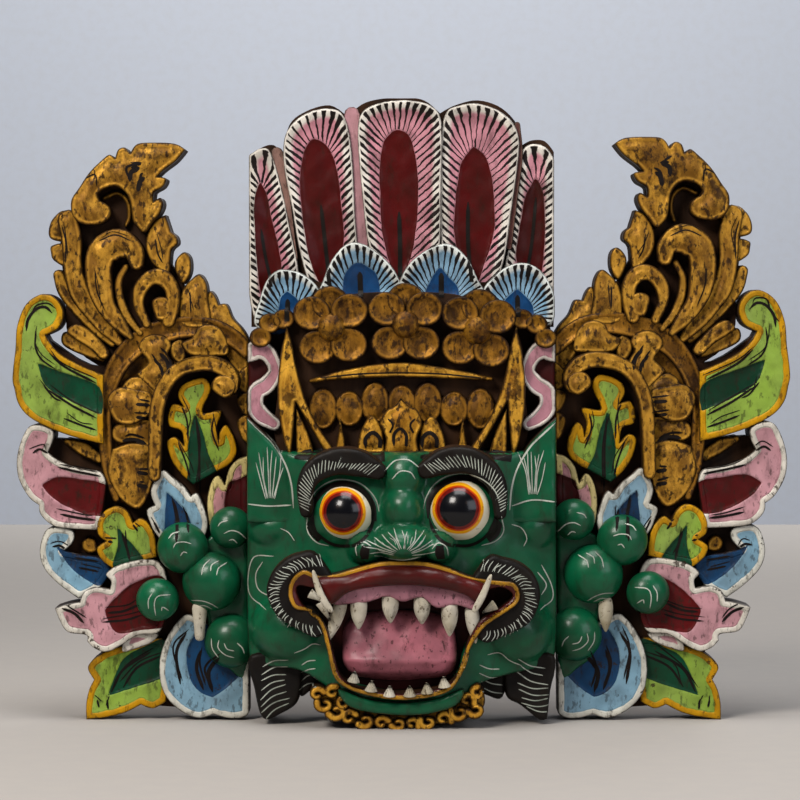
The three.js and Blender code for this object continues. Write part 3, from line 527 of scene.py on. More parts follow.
# A carved part: the sheet is raised by height(x, z, edge, core) above the back, then closed with walls and a back
def addRelief(carving, outline, paint, height, cell=None, core=None, barbAxis=None, hole=None, band=None,
              insets=(0.0006, 0.0010)):
    made = newMesh()
    cell = cell or grid["groundCell" if paint == "darkGround" else "cell"]
    cutSheet(made, outline, hole, cell, insets)
    points = np.array([(v.co.x, v.co.z) for v in made.verts])
    edge = distanceTo(points, outline)[0]
    if hole is not None:
        edge = np.minimum(edge, distanceTo(points, hole)[0])
    coreDepth = np.full(len(points), -0.05)
    if core is not None:
        gap, _, inside = distanceTo(points, core)
        coreDepth = np.where(inside, gap, -gap)
    phase = np.zeros(len(points)) if barbAxis is None else barbPhase(points, *barbAxis)
    tall = height(points[:, 0], points[:, 1], edge, coreDepth)
    boundary = [e for e in made.edges if e.is_boundary]
    layers = [made.verts.layers.float[key] for key in layerNames]
    for v, h, *values in zip(made.verts, tall, edge, coreDepth, phase, np.ones(len(points))):
        v.co.y = grid["back"] - h
        for layer, value in zip(layers, values):
            v[layer] = value
    paintFaces(made.faces, paint)
    if band:
        middles = [f.calc_center_median() for f in made.faces]
        near = distanceTo(np.array([(m.x, m.z) for m in middles]), outline)[0] < band[1]
        paintFaces([f for f, isNear in zip(made.faces, near) if isNear], band[0])
    lowest = grid["back"] - carving["count"] * 0.00001  # backs are a hair apart, so none flickers
    for ground, rise in ((paint, 0.75), ("darkGround", 0.0)):
        walls = bmesh.ops.extrude_edge_only(made, edges=boundary)["geom"]
        for v in (g for g in walls if isinstance(g, bmesh.types.BMVert)):
            v.co.y = min(v.co.y + grid["wall"], lowest) if rise else lowest
            v[layers[3]] = rise
        paintFaces([g for g in walls if isinstance(g, bmesh.types.BMFace)], ground, False)
        boundary = [g for g in walls if isinstance(g, bmesh.types.BMEdge) and g.is_boundary]
    if hole is None:
        paintFaces(bmesh.ops.edgeloop_fill(made, edges=boundary)["faces"], "bareWood", False)
    bmesh.ops.recalc_face_normals(made, faces=made.faces[:])
    appendMesh(carving, made)


# A rounded mass; iris, a shift across and up, keeps how far each vertex lies from that axis, for painted rings
def addBall(carving, centre, half, paint, segments=32, rings=20, iris=None):
    made = newMesh()
    bmesh.ops.create_uvsphere(made, u_segments=segments, v_segments=rings, radius=1)
    tagVerts(made)
    if iris is not None:
        layer = made.verts.layers.float["edge"]
        for v in made.verts:
            v[layer] = math.hypot(v.co.x - iris[0], v.co.y - iris[1]) if v.co.z > 0 else 1.0
    facing = Matrix.Translation(centre) @ Matrix.Diagonal((*half, 1)) @ Matrix.Rotation(math.pi / 2, 4, "X")
    bmesh.ops.transform(made, matrix=facing, verts=made.verts)
    paintFaces(made.faces, paint)
    appendMesh(carving, made)


# A brush stroke: a thin strip laid on the carved surface along points in squares, its half width in metres
def addStroke(carving, points, halfWidth, paint, surface, lift=0.00022, taper=(1, 1)):
    line = smoothLine([tuple(p) for p in metres(points)], 6)
    lengths = np.linalg.norm(np.diff(line, axis=0), axis=1)
    total = lengths.sum()
    count = max(2, int(total / 0.0011))
    far = np.concatenate([[0], np.cumsum(lengths)])
    spots = np.linspace(0, total, count + 1)
    line = np.stack([np.interp(spots, far, line[:, k]) for k in (0, 1)], axis=1)
    side = alongAndAcross(line)[1]
    made = newMesh()
    bmesh.ops.create_grid(made, x_segments=count, y_segments=2 * max(1, round(halfWidth / 0.0007)), size=1)
    tagVerts(made)
    missed = []
    for v in made.verts:
        i = round((v.co.x + 1) / 2 * count)
        width = halfWidth * min(1, taper[0] + i / count * 6, taper[1] + (1 - i / count) * 6)
        x, z = line[i] + side[i] * v.co.y * width
        hit = surface.ray_cast(Vector((x, -0.2, z)), Vector((0, 1, 0)))[0]
        if hit is None:
            missed.append(v)
        else:
            v.co = (x, hit.y - lift, z)
    bmesh.ops.delete(made, geom=missed, context="VERTS")
    paintFaces(made.faces, paint)
    appendMesh(carving, made)


# A small pointed tooth between two places in squares
def addSpike(carving, root, tip, high, radius):
    made = newMesh()
    (x, z), (tipX, tipZ) = metres([root, tip])
    start, end = Vector((x, grid["back"] - high, z)), Vector((tipX, grid["back"] - high - 0.001, tipZ))
    size = {"radius1": radius, "radius2": radius * 0.16, "depth": (end - start).length}
    bmesh.ops.create_cone(made, cap_ends=True, segments=12, **size)
    bmesh.ops.bevel(
        made, geom=made.edges[:], offset=radius * 0.12, segments=2, profile=0.5, affect="EDGES", material=-1)
    turn = (end - start).to_track_quat("Z", "Y").to_matrix().to_4x4()
    bmesh.ops.transform(made, matrix=Matrix.Translation((start + end) / 2) @ turn, verts=made.verts)
    tagVerts(made)
    paintFaces(made.faces, "toothIvory")
    appendMesh(carving, made)


def objectFrom(made, name, surfaces):
    mesh = bpy.data.meshes.new(name)
    for surface in surfaces:
        mesh.materials.append(surface)
    made.to_mesh(mesh)
    made.free()
    placed = bpy.data.objects.new(name, mesh)
    bpy.context.scene.collection.objects.link(placed)
    return placed


def declare(piece, node):
    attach(piece, "root")
    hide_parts(node)
    print(piece.name, "has", len(piece.data.polygons), "faces")


def pieceFrom(carving, name, node):
    low, high = cadBounds
    for v in carving["mesh"].verts:  # nothing stands past the solids' own box
        v.co = [min(max(value, low[axis]), high[axis]) for axis, value in enumerate(v.co)]
    declare(objectFrom(carving["mesh"], name, materials.values()), node)


# How far each kind of painted part stands above the back, from its edge inwards
def carvedHeight(paint, top):
    look = paints.get(paint, {})

    def height(x, z, edge, core):
        tall = top + handWaver(x, z)
        if "barbs" in look:
            sunk = 0.0034 * ease(edge, 0.0015, 0.013) + 0.0010 * ease(core, -0.0002, 0.0009)
            return tall - rounded(edge, 0.0014) - sunk
        if look:
            rim = look["rimWidth"]
            sunk = 0.0008 * ease(edge, rim - 0.0006, rim + 0.0006) + 0.0014 * ease(core, -0.0003, 0.0008)
            return tall - rounded(edge, 0.0014) - sunk
        if paint in ("goldPaint", "brightGold"):
            lifted = 0.0015 * ease(edge, 0.0024, 0.008) - 0.0005 * ease(edge, 0.0016, 0.0024)
            return tall - rounded(edge, 0.0022) + lifted
        if paint == "bronzePaint":
            return tall - rounded(edge, 0.0016) - 0.0018 * ease(edge, 0.0018, 0.0046)
        return tall - (0 if paint == "darkGround" else rounded(edge, 0.003))

    return height


# Strokes that spread from an inner ellipse to an outer one; angles in degrees
def fan(centre, inner, outer, start, end, count, sweep=0.0, wave=0.0):
    lines = []
    for i in range(count):
        angle = math.radians(start + (end - start) * (i + random.uniform(-0.22, 0.22)) / (count - 1))
        turns = [angle, angle + math.radians(sweep * 0.4 + random.uniform(-wave, wave)), angle + math.radians(sweep)]
        reach = random.uniform(0.82, 1.15)
        sizes = [np.array(inner) + (np.array(outer) - inner) * k * reach for k in (0, 0.5, 1)]
        lines.append([(centre[0] + r[0] * math.cos(a), centre[1] + r[1] * math.sin(a)) for a, r in zip(turns, sizes)])
    return lines


# Short strokes across a line: reach is half their length, lean their turn in degrees, bend how far they bow
def hatch(line, count, reach, lean, bend=0.0):
    path = smoothLine(squares(line), 8)
    lines = []
    for s in np.linspace(0, len(path) - 1, count):
        i = min(int(s), len(path) - 2)
        ahead = path[i + 1] - path[i]
        middle = path[i] + ahead * (s - i)
        angle = math.atan2(ahead[1], ahead[0]) + math.radians(90 + lean + random.uniform(-7, 7))
        way = np.array([math.cos(angle), math.sin(angle)]) * random.uniform(0.8, 1.15)
        bow = np.array([-way[1], way[0]]) * bend
        lines.append([tuple(middle - way * reach), tuple(middle + bow), tuple(middle + way * reach)])
    return lines


# The wings' carving: name, paint, height as a share of the relief's depth, and the outline, out from the middle
# line and up from the foot
wingCarving = [
    ("ground upper", "darkGround", 0.4, "319 498, 313 532, 276 562, 245 556, 247 508, 231 458, 205 420, 155 375, "
     "251 340, 327 372, 337 430, 341 490"),
    ("ground lower", "darkGround", 0.4, "153 372 1, 153 20 1, 201 11, 271 14, 307 14, 301 65, 329 107, 305 132, "
     "351 164, 339 198, 373 240, 369 280, 309 282, 363 318, 375 350, 373 398, 357 384, 301 354, 241 390"),
    ("flame", "goldPaint", 0.74, "215 571 1, 226 577, 251 578, 264 576, 270 567 1, 275 573, 282 571, 285 562 1, "
     "291 566, 300 559, 311 548, 321 533, 329 520, 327 504, 315 496, 299 497, 290 504, 291 514, 300 520 1, 302 526, "
     "295 532, 284 534, 275 528, 270 517, 268 502, 264 494, 256 488, 247 499, 240 508, 237 517, 240 523, 247 519 1, "
     "246 528, 237 534, 234 542, 243 544 1, 237 550, 224 560"),
    ("curl ring", "goldPaint", 0.52, "297 523 2.5, 284 528 2.5, 274 520 2.5, 272 506 2.5, 275 496 2.5"),
    ("side leaf", "goldPaint", 0.66, "235 506 1, 244.5 501.5, 253 489, 255 474, 250 460, 239 449, 231.5 448, "
     "229.5 469.5, 223 477, 224 484.5, 229.5 489 1"),
    ("small leaf", "goldPaint", 0.62, "218 437, 225.5 449.5, 225.5 460.5, 217 469, 210.5 462.5, 210.5 447.5"),
    ("comb band", "goldPaint", 0.64, "333 501 10.5, 329 480 10.5, 328 455 9.5, 322 430 10.5, 310 411 9, "
     "296 395 8.5, 282 379 4.5"),
    ("comb tooth 1", "goldPaint", 0.58, "336.5 510, 347.5 503.5, 352.5 492, 350.5 482.5, 337.5 480, 328 490"),
    ("comb tooth 2", "goldPaint", 0.56, "334.5 476.5, 349.5 475.5, 350.5 468, 347.5 460.5, 334.5 455"),
    ("comb tooth 3", "goldPaint", 0.56, "343 446 5.5, 337 430 7, 324 413 7, 303 390 5.5, 289 377 3.5"),
    ("hook band", "goldPaint", 0.76, "264 458 7.5, 267 470 10.5, 281 477 15.5, 297 470 15, 302 454 13.5, "
     "300 432 12.5, 294 414 9.5, 282 398 7.5, 270 384 3.5"),
    ("thin band", "goldPaint", 0.66, "275 454 3.5, 282 440 4, 281 422 4.5, 273 403 4.5, 261 388 3.5"),
    ("spiral", "goldPaint", 0.72, "254 397 4.5, 262 416 5.5, 260 432 7.5, 250 443 8, 238 443 8.5, 229 432 7.5, "
     "228 415 7, 232 400 7"),
    ("spiral eye", "goldPaint", 0.72, "248.5 414, 247.5 421.5, 239 424.5, 230.5 420.5, 230.5 403.5, 243 401"),
    ("lobe 1", "goldPaint", 0.62, "218.5 395, 222 415, 218.5 431, 210.5 441, 201.5 447, 194.5 437.5, 192.5 419.5, "
     "191.5 395"),
    ("lobe 2", "goldPaint", 0.56, "198.5 397, 196 419.5, 191.5 430, 186 425.5, 182.5 416.5 1, 174.5 416.5, "
     "168 402.5, 157.5 390.5, 147.5 370, 172.5 383.5"),
    ("low leaf", "goldPaint", 0.62, "334.5 389.5, 327 397, 316 394, 302 382, 291.5 368, 299 361.5, 313 373.5, "
     "327 382"),
    ("low leaf under", "goldPaint", 0.52, "339 388, 329.5 387, 308 372, 297.5 359, 319 365.5, 339 376"),
    ("ring", "bronzePaint", 0.64, "285 222 4, 293 250 6, 296 280 7, 297 310 8, 292 336 9.5, 281 359 10.5, "
     "263 378 12, 241 389 12, 213 394 11, 187 392 10, 167 382 9, 152 368 7.5"),
    ("lobe bed", "bronzePaint", 0.5, "289 225, 295 250, 297 280, 295 320, 285 346, 263 370, 231 382, 196 384, "
     "163 372, 152 358, 152 348, 171 356, 196 362, 221 354, 237 338, 245 315, 248 280, 248 240, 261 212, 279 216"),
    ("lobe A", "goldPaint", 0.66, "262 372, 258.5 382.5, 247.5 387, 235 384.5, 229 375.5, 232.5 366.5, 227 355.5, "
     "230.5 341.5, 243 328, 255 337, 264 347.5, 253 358.5"),
    ("lobe B", "goldPaint", 0.62, "231 367.5, 230 377, 221 382.5, 215 374.5, 216 361, 224 357.5"),
    ("lobe C", "goldPaint", 0.66, "220 378, 209.5 383.5, 203 393.5, 191.5 397, 180.5 392.5, 173.5 380, 172.5 366.5, "
     "186 364.5, 204 364.5, 214 367.5"),
    ("lobe D", "goldPaint", 0.54, "180 375.5, 164 380, 154 371, 149.5 348.5, 160.5 346, 173 359.5"),
    ("lobe F", "goldPaint", 0.64, "280 332, 270 344, 253 342, 244 330, 247 320, 263 322, 275 324"),
    ("lobe G", "goldPaint", 0.68, "294 318, 290 329, 280 334, 265 332, 250 328, 248 312, 256 302, 271 296, 286 300"),
    ("lobe H", "goldPaint", 0.6, "290 284, 287 295, 271 301, 251 302, 247 284, 251 274, 267 278, 281 277"),
    ("lobe I", "goldPaint", 0.66, "289 272 1, 271 278, 250 274, 247 252, 250 230, 262 212, 277 218, 288 232, "
     "294 250"),
    ("arch", "goldPaint", 0.84, "246 246 6.5, 245 288 7, 243 315 7.5, 236 335 7.5, 225 349 7.5, 210 356 8, "
     "192 358 8, 177 353 8, 168 342 7.5, 171 332 8, 178 334 8"),
    ("arch curl", "goldPaint", 0.86, "183.5 327.5, 189 334, 186.5 342.5, 179 346.5, 169.5 344.5, 164 337, "
     "166.5 327.5, 175 323"),
    ("arch leaf", "leafPaint", 0.66, "208 236 1, 220 247, 230 262, 234 279, 226 284, 217 275 1, 220 290, 232 295, "
     "233 307, 228 317, 217 314 1, 223 324, 221 334, 210 341, 196 343, 190 332, 196 318 1, 198 308, 180 310, "
     "184 295, 182 281 1, 181 290, 175 296, 168 286, 164 270, 170 258, 183 250 1"),
    ("lobe J", "goldPaint", 0.58, "164 346, 157 354, 149 354, 149 330, 158 328, 165 336"),
    ("lobe K", "goldPaint", 0.6, "165 322, 158 328, 149 328, 149 306, 159 308"),
    ("lobe L", "goldPaint", 0.56, "164 300, 157 306, 149 304, 149 278, 158 280, 163 290"),
    ("outer scroll", "leafPaint", 0.72, "297 277 1, 326 284, 351 293, 371 304, 382 317, 386 332, 388 344, 385 372, "
     "383 396, 374 417, 358 427, 344 422, 337 408, 342 393, 355 386 1, 344 370, 323 357, 297 346 1"),
    ("gold bit", "goldPaint", 0.5, "335 279 3.5, 319 272 7, 303 262 5.5"),
    ("pink scroll", "pinkPaint", 0.7, "295 236 1, 300 249, 323 253, 343 261, 353 269 1, 348 280, 348 290, 359 296, "
     "371 295, 379 282, 384 262, 382 242, 372 224, 362 216 1, 360 206, 347 195, 325 192, 301 191 1"),
    ("blue scroll", "bluePaint", 0.64, "355 191, 343 194, 329 190, 328 180, 337 170 1, 321 166, 299 162, 291 150, "
     "303 132, 323 122 1, 341 135, 355 149, 361 162, 361 176"),
    ("gold dot", "goldPaint", 0.48, "320.5 178, 314 183.5, 306.5 179.5, 304.5 169.5, 313 166.5, 319.5 170.5"),
    ("low green leaf", "leafPaint", 0.58, "316 0 1, 316 16, 313 30, 308 40 1, 314 50, 312 57, 304 64, 293 70, "
     "271 76, 236 80, 233 45, 236 18 1, 249 11, 261 15 1, 277 7, 297 2"),
    ("low blue petal", "bluePaint", 0.66, "211 106, 223 100, 234 84, 241 65, 242 45, 238 28, 228 15, 215 6, 201 2, "
     "188 6 1, 173 2, 158 3, 149 12, 146 30, 150 48, 152 80, 186 92"),
    ("pink leaf", "pinkPaint", 0.74, "346 113 1, 333 117, 321 119 1, 317 129, 306 134, 291 132 1, 290 140, 295 147, "
     "285 155, 269 160, 253 162, 242 159, 235 147, 233 120, 241 90, 263 86, 281 75, 295 69, 307 73, 314 80 1, "
     "315 86, 333 89, 341 100"),
    ("pink lobe", "pinkPaint", 0.66, "279 69, 277 82, 268 89, 244 87, 250 78, 265 72"),
    ("yellow leaf", "leafPaint", 0.72, "289 153 1, 300 162, 304 173, 295 180 1, 303 187, 303 200, 295 211, 283 215, "
     "273 209, 268 198 1, 261 203, 253 198, 246 185, 244 164 1, 266 158"),
    ("blue petal", "bluePaint", 0.74, "254 211, 246 216 1, 250 230, 244 245, 237 251, 228 244, 217 235, 210 225 1, "
     "204 228, 198 217, 193 194, 205 175, 231 175, 244 186, 251 199"),
    ("cream petal", "creamPaint", 0.7, "192 196 1, 194 220, 189 240, 182 245, 176 236 1, 172 252, 163 262, "
     "153 265 1, 153 208 1, 173 196"),
    ("hand", "greenEnamel", 0.66, "152 200, 152 52, 175 53, 193 72, 195 105, 211 135, 205 168, 187 188"),
]
# Dark middles of the painted leaves, in the same squares
wingCores = {
    "outer scroll": "363 358 1, 341 350, 301 334, 299 307 1, 326 318, 351 332, 359 344",
    "pink scroll": "359 236 1, 344 244, 321 242, 293 235, 293 208, 311 206, 331 213, 349 224",
    "blue scroll": "346 175 1, 326 167, 297 164, 289 150, 301 135, 317 142, 333 156",
    "low green leaf": "294 24 1, 287 44, 279 60, 265 70, 234 80, 234 43 1, 265 33",
    "low blue petal": "211 78, 215 60, 211 40, 201 28, 189 23 1, 175 32, 158 50, 151 70, 161 90, 196 96",
    "pink leaf": "296 111 1, 283 126, 261 141, 236 142, 233 98, 261 91, 283 88, 293 100",
    "yellow leaf": "284 196 1, 276 185, 266 174, 257 158, 276 150, 288 154, 283 175",
    "blue petal": "234 229 1, 223 219, 211 202, 207 172, 235 172, 236 200",
    "cream petal": "173 236, 163 242, 149 244, 149 210, 175 208",
    "arch leaf": "206 309 1, 198 288, 192 265, 183 246, 179 215, 219 215, 212 250, 213 275",
}
# Knife cuts through the paint, each after its half width in squares
wingCuts = [
    (0.9, "351 368, 335 354, 304 338"), (0.9, "353 332, 329 316, 304 303"), (0.8, "337 303, 319 296, 304 291"),
    (1.1, "374 390, 372 402, 364 412, 355 414, 348 408"), (0.7, "364 390, 365 375, 359 362, 345 352"),
    (0.7, "357 336, 347 324, 339 320"), (0.9, "343 254, 321 249, 300 245"), (1.0, "341 207, 321 203, 305 201"),
    (0.9, "368 268, 361 272, 353 268"), (0.8, "327 163, 303 159"), (0.8, "323 153, 303 149"),
    (0.9, "349 174, 341 175, 333 169"), (1.0, "291 27, 279 50, 251 68"), (0.9, "279 32, 265 52, 241 64"),
    (0.8, "305 20, 303 12"), (0.8, "295 20, 294 10"), (1.3, "201 70, 205 52, 198 30"),
    (1.6, "181 65, 193 48, 189 28"), (1.2, "215 88, 225 68, 221 36"), (0.9, "294 108, 277 110, 261 117"),
    (0.8, "299 99, 276 101, 259 106"), (1.1, "339 113, 327 108, 317 98"), (1.0, "279 188, 274 172, 271 160"),
    (1.1, "293 180, 288 179"), (0.8, "268 197, 263 190"), (0.9, "205 302, 202 270, 202 225"),
    (0.7, "223 279, 215 258, 211 242"), (0.7, "187 305, 189 290, 182 270"), (0.7, "221 320, 214 300, 213 280"),
    (1.2, "227 220, 223 200, 223 180"), (0.9, "215 210, 211 190"), (0.8, "247 200, 241 188"),
    (1.8, "269 553, 262 552, 269 548, 270 539"), (1.8, "255 543, 260 539, 262 529"), (1.3, "265 317, 251 316"),
    (1.3, "265 304, 251 302"), (1.5, "264 249, 253 247"), (1.5, "264 236, 253 234"),
    (1.5, "241 368, 234 360, 231 348"), (1.2, "247 362, 240 354, 238 344"), (1.7, "279 280, 267 281, 255 277"),
    (0.6, "339 496, 335 480, 335 458"), (0.5, "305 450, 303 430, 295 410"), (0.5, "301 480, 285 486, 269 480"),
    (0.6, "245 482, 243 468, 238 458"), (0.6, "211 430, 210 408"), (0.6, "315 542, 305 546, 303 534"),
]
knuckles = [  # place, radius and height share of each rounded finger joint and the palm
    (170.5, 80, 27, 0.92),  # wrist
    (170.5, 194, 21, 0.92),  # knuckle inner
    (189.5, 140, 29.5, 1.0),  # palm
    (218.5, 174, 25.5, 0.98),  # knuckle outer
    (243.5, 122, 21.5, 0.94),  # knuckle side
]
# White brush arcs on the finger joints
handArcs = [
    "226 175, 223 180, 215 181, 208 179", "219 167, 216 171, 212 170", "176 189, 169 192, 161 190, 153 182",
    "171 182, 167 183, 163 179", "189 152, 188 158, 181 162", "183 148, 181 155, 173 160",
    "209 122, 198 122, 189 119, 182 114", "206 115, 196 117, 188 113", "244 107, 245 120, 241 127, 229 128",
    "238 112, 237 116, 231 112", "181 83, 182 75, 175 68, 166 65", "176 80, 173 74, 166 72",
    "231 184, 227 189, 220 191", "182 196, 179 200, 172 202", "198 148, 196 157, 190 163",
    "251 114, 251 123, 247 130", "189 84, 188 74, 182 65", "163 80, 158 75, 156 69",
]


def wingPlace(side):
    stretch, lean = (rightWing["stretch"], rightWing["lean"]) if side > 0 else (1.0, 0.0)

    def place(points):
        return np.array([(side * (p[0] + lean * (0.5 - p[1] / 621)), p[1] * stretch) for p in points])

    return place


def buildWing(side, name, node):
    place = wingPlace(side)
    carving = newCarving()
    for label, paint, high, points in wingCarving:
        outline = drawn(points)
        outline[:, 0] = np.maximum(outline[:, 0], grid["seam"] + 0.4)
        core = metres(place(drawn(wingCores[label]))) if label in wingCores else None
        top = high * grid["wingRelief"] + carving["count"] * grid["shingle"]
        addRelief(carving, metres(place(outline)), paint, carvedHeight(paint, top), core=core)
    rise = rightWing["handRise"] if side > 0 else 0
    for x, z, radius, high in knuckles:
        spot = metres(place([(x, z)]))[0]
        half = radius * grid["across"]
        middle = (spot[0], grid["back"] - high * grid["wingDepth"] + half * 0.8, spot[1] + rise * grid["up"])
        addBall(carving, middle, (half, half * 0.8, radius * grid["up"]), "greenEnamel", 40, 28)
    surface = BVHTree.FromBMesh(carving["mesh"])
    for width, text in wingCuts:
        points = squares(text)
        half = width * grid["across"]
        addStroke(carving, place(points), half * 1.3, dark, surface, taper=(0.2, 0.2))
        beside = [(x + random.uniform(-4, 4), z + random.uniform(3, 6)) for x, z in points]
        addStroke(carving, place(beside), half * 0.7, dark, surface, 0.0002, (0.2, 0.2))
    for text in handArcs:
        lifted = [(x, z + rise) for x, z in squares(text)]
        addStroke(carving, place(lifted), 0.00036, white, surface, taper=(0.3, 0.3))
    pieceFrom(carving, name, node)


buildWing(-1, "left_wing_carved", "left_wing")
buildWing(1, "right_wing_carved", "right_wing")

# The mask's carving, in squares from the middle line and up from the foot
maskCarving = [
    ("head board", "darkGround", 0.3, "-140 402 1, -153 376 1, -153 69 1, -140 60, -102 56, -77 42, -57 24, 1 18, "
     "58 24, 78 42, 103 54, 143 60, 152 69 1, 152 376 1, 146 402 1, 98 439 1, -92 439 1"),
    ("crown board", "darkGround", 0.2, "-152 564 1, -140 574, -128 576, -119 566 1, -113 596, -96 610, -72 616, "
     "-55 605 1, -40 617, -24 622, 0 624, 22 621, 38 608 1, 53 616, 76 621, 100 613, 117 594, 120 576 1, 130 581, "
     "143 580, 153 568 1, 154 394 1, -151 394 1"),
    ("feather 1", "featherPaint", 0.26, "-155 560, -148 569, -139 573, -131 568, -122 540, -113 499, -103 446, "
     "-108 404, -140 394, -152 419, -156 474, -157 524"),
    ("feather 5", "featherPaint", 0.26, "118 566, 126 576, 139 576, 149 567, 154 550, 155 489, 154 424, 147 394, "
     "120 412, 101 436, 106 474, 111 514, 115 544"),
    ("feather 2", "featherPaint", 0.3, "-118 578, -111 595, -96 607, -77 612, -61 608, -53 590, -49 554, -47 509, "
     "-45 456, -62 424, -88 429, -102 469, -110 514, -117 549"),
    ("feather 4", "featherPaint", 0.3, "39 584, 44 608, 57 615, 75 617, 96 610, 111 597, 117 578, 114 544, 108 502, "
     "102 462, 88 426, 48 426, 39 474, 38 534"),
    ("feather edge", "pinkPlain", 0.28, "-50 606 8, -46 554 8, -42 499 7, -38 462 5"),
    ("feather 3", "featherPaint", 0.33, "-44 582, -41 606, -26 616, -1 620, 23 617, 37 606, 40 582, 39 534, 38 479, "
     "30 429, -17 429, -33 474, -40 529"),
    ("feather strip", "driedPink", 0.25, "-125 568 6, -118 534 5, -112 494 4, -107 462 3"),
    ("feather side", "driedRed", 0.28, "115 596 3, 117 564 3.5, 112 519 3, 107 474 3"),
    ("petal 1", "petalPaint", 0.38, "-147 397, -142 421, -135 440, -125 450, -112 451, -97 446, -84 434, -80 419, "
     "-102 396, -127 386"),
    ("petal 4", "petalPaint", 0.38, "78 419, 82 434, 95 448, 108 456, 122 458, 136 452, 146 439, 152 421, 148 397, "
     "113 394"),
    ("petal 2", "petalPaint", 0.41, "-81 421, -78 442, -69 462, -56 476, -43 478, -28 471, -14 459, -3 442, 0 424, "
     "-42 406"),
    ("petal 3", "petalPaint", 0.41, "-2 424, -2 441, 8 458, 23 470, 40 477, 53 474, 65 462, 75 442, 80 424, 38 408"),
    ("diadem field", "darkGround", 0.42, "-112 394, -62 424, 1 429, 64 424, 112 394, 122 334, 113 264, 1 254, "
     "-115 264, -123 334"),
    ("brow band", "brightGold", 0.52, "-90 341 2, -52 348 5, -2 352 7.5, 48 348 5, 88 343 2"),
    ("centre jewel", "brightGold", 0.56, "-19 266 1, -16 284, -22 299, -15 312, -8 316, -1 324 1, 7 316, 15 312, "
     "20 299, 15 284, 18 266 1"),
    ("left plate", "brightGold", 0.54, "-114 396 1, -121 359, -123 322, -117 282, -110 263 1, -105 320 1, "
     "-74 267 1, -67 272 1, -90 309, -102 344, -109 379"),
    ("left plate field", "brightGold", 0.52, "-105 316 1, -91 284, -88 261, -105 260 1"),
    ("left flame", "brightGold", 0.52, "-45 269 1, -42 288, -34 304, -27 305, -19 292, -17 269 1"),
    ("left spike", "brightGold", 0.52, "-61 304 1, -57 284, -55 268 1, -67 268 1, -64 284"),
    ("left curl", "scrollPaint", 0.46, "-152 368 9, -141 372 10, -131 365 8, -126 351 7, -133 338 9, -144 330 9, "
     "-146 317 9, -139 306 9, -127 298 7"),
    ("left curl field", "oxbloodPaint", 0.4, "-153 374, -140 374, -126 362, -125 340, -140 314, -153 304"),
    ("left ear", "greenEnamel", 0.6, "-153 305 1, -140 293, -125 277, -114 256, -107 229, -105 202, -153 202 1"),
    ("left beard", "blackPaint", 0.52, "-150 69, -146 34, -141 12, -134 5, -120 11, -104 22, -99 44, -102 69"),
    ("left beard inner", "blackPaint", 0.48, "-104 66, -102 29, -90 34, -77 46, -76 69"),
    ("right beard", "blackPaint", 0.52, "151 69, 147 34, 144 6 1, 136 5, 118 19, 103 29, 101 56, 108 69"),
    ("right beard inner", "blackPaint", 0.48, "104 64, 100 27, 83 29, 63 39, 61 56"),
    ("left fringe", "blackPaint", 0.8, "-82 171, -102 173, -119 164, -130 149, -132 132, -122 112, -102 99, -80 92, "
     "-57 124"),
    ("right fringe", "blackPaint", 0.8, "82 168, 101 168, 118 162, 131 149, 135 129, 125 106, 103 94, 78 87, 58 124"),
    ("lips", "lipPaint", 0.87, "1 167, -22 166, -42 161, -62 155, -80 152, -96 158, -108 148, -111 134, -105 120, "
     "-88 115, -79 100, -73 78, -68 56, -57 43, -32 34, 1 30, 33 34, 50 42, 60 60, 66 79, 80 101, 98 114, 112 124, "
     "115 135, 109 145, 94 147, 68 151, 43 161, 23 166"),
    ("left brow", "blackPaint", 0.79, "-94 214 6, -94 239 9, -84 255 12, -64 263 13, -42 261 13, -24 254 9"),
    ("right brow", "blackPaint", 0.79, "96 212 6, 94 237 9, 83 254 12, 64 264 13, 42 263 13, 23 255 9"),
    ("chin", "greenEnamel", 0.78, "-62 40, -32 30, 1 27, 34 31, 60 40, 53 24, 28 16, 1 14, -32 17, -54 24"),
    ("collar", "goldPaint", 0.66, "-86 26, -73 36, -57 42, -50 30, 1 20, 53 32, 63 42, 79 36, 81 22, 70 12, 53 5, "
     "28 2, 1 0, -27 1, -52 4, -66 13, -76 24"),
]
maskCores = {
    "feather 1": "-142 540 1, -136 528, -132 509, -126 484, -121 456, -126 434, -140 424, -145 454, -147 484, "
    "-148 512, -146 529",
    "feather 2": "-87 582, -76 576, -68 562, -63 539, -60 509, -58 484, -62 462, -77 434, -89 452, -96 479, "
    "-100 512, -102 539, -99 564, -94 577",
    "feather 3": "-4 591, 6 586, 11 574, 15 554, 16 524, 14 492, 8 462, -4 439, -14 462, -20 492, -22 524, -22 556, "
    "-19 577, -12 587",
    "feather 4": "71 574 1, 80 568, 86 558, 90 542, 92 519, 92 489, 84 462, 72 434, 58 462, 52 489, 53 516, 56 542, "
    "60 560",
    "feather 5": "134 544 1, 139 534, 142 521, 143 499, 142 469, 138 444, 123 439, 114 462, 116 484, 120 509, "
    "124 526",
    "petal 1": "-114 430 1, -104 421, -99 406, -102 384, -130 384, -123 412, -121 424",
    "petal 2": "-44 458, -34 454, -24 442, -24 404, -57 404, -58 441, -52 453",
    "petal 3": "38 454 1, 46 444, 56 432, 53 406, 22 406, 26 436",
    "petal 4": "115 432 1, 124 424, 131 412, 126 389, 98 389, 101 419",
}
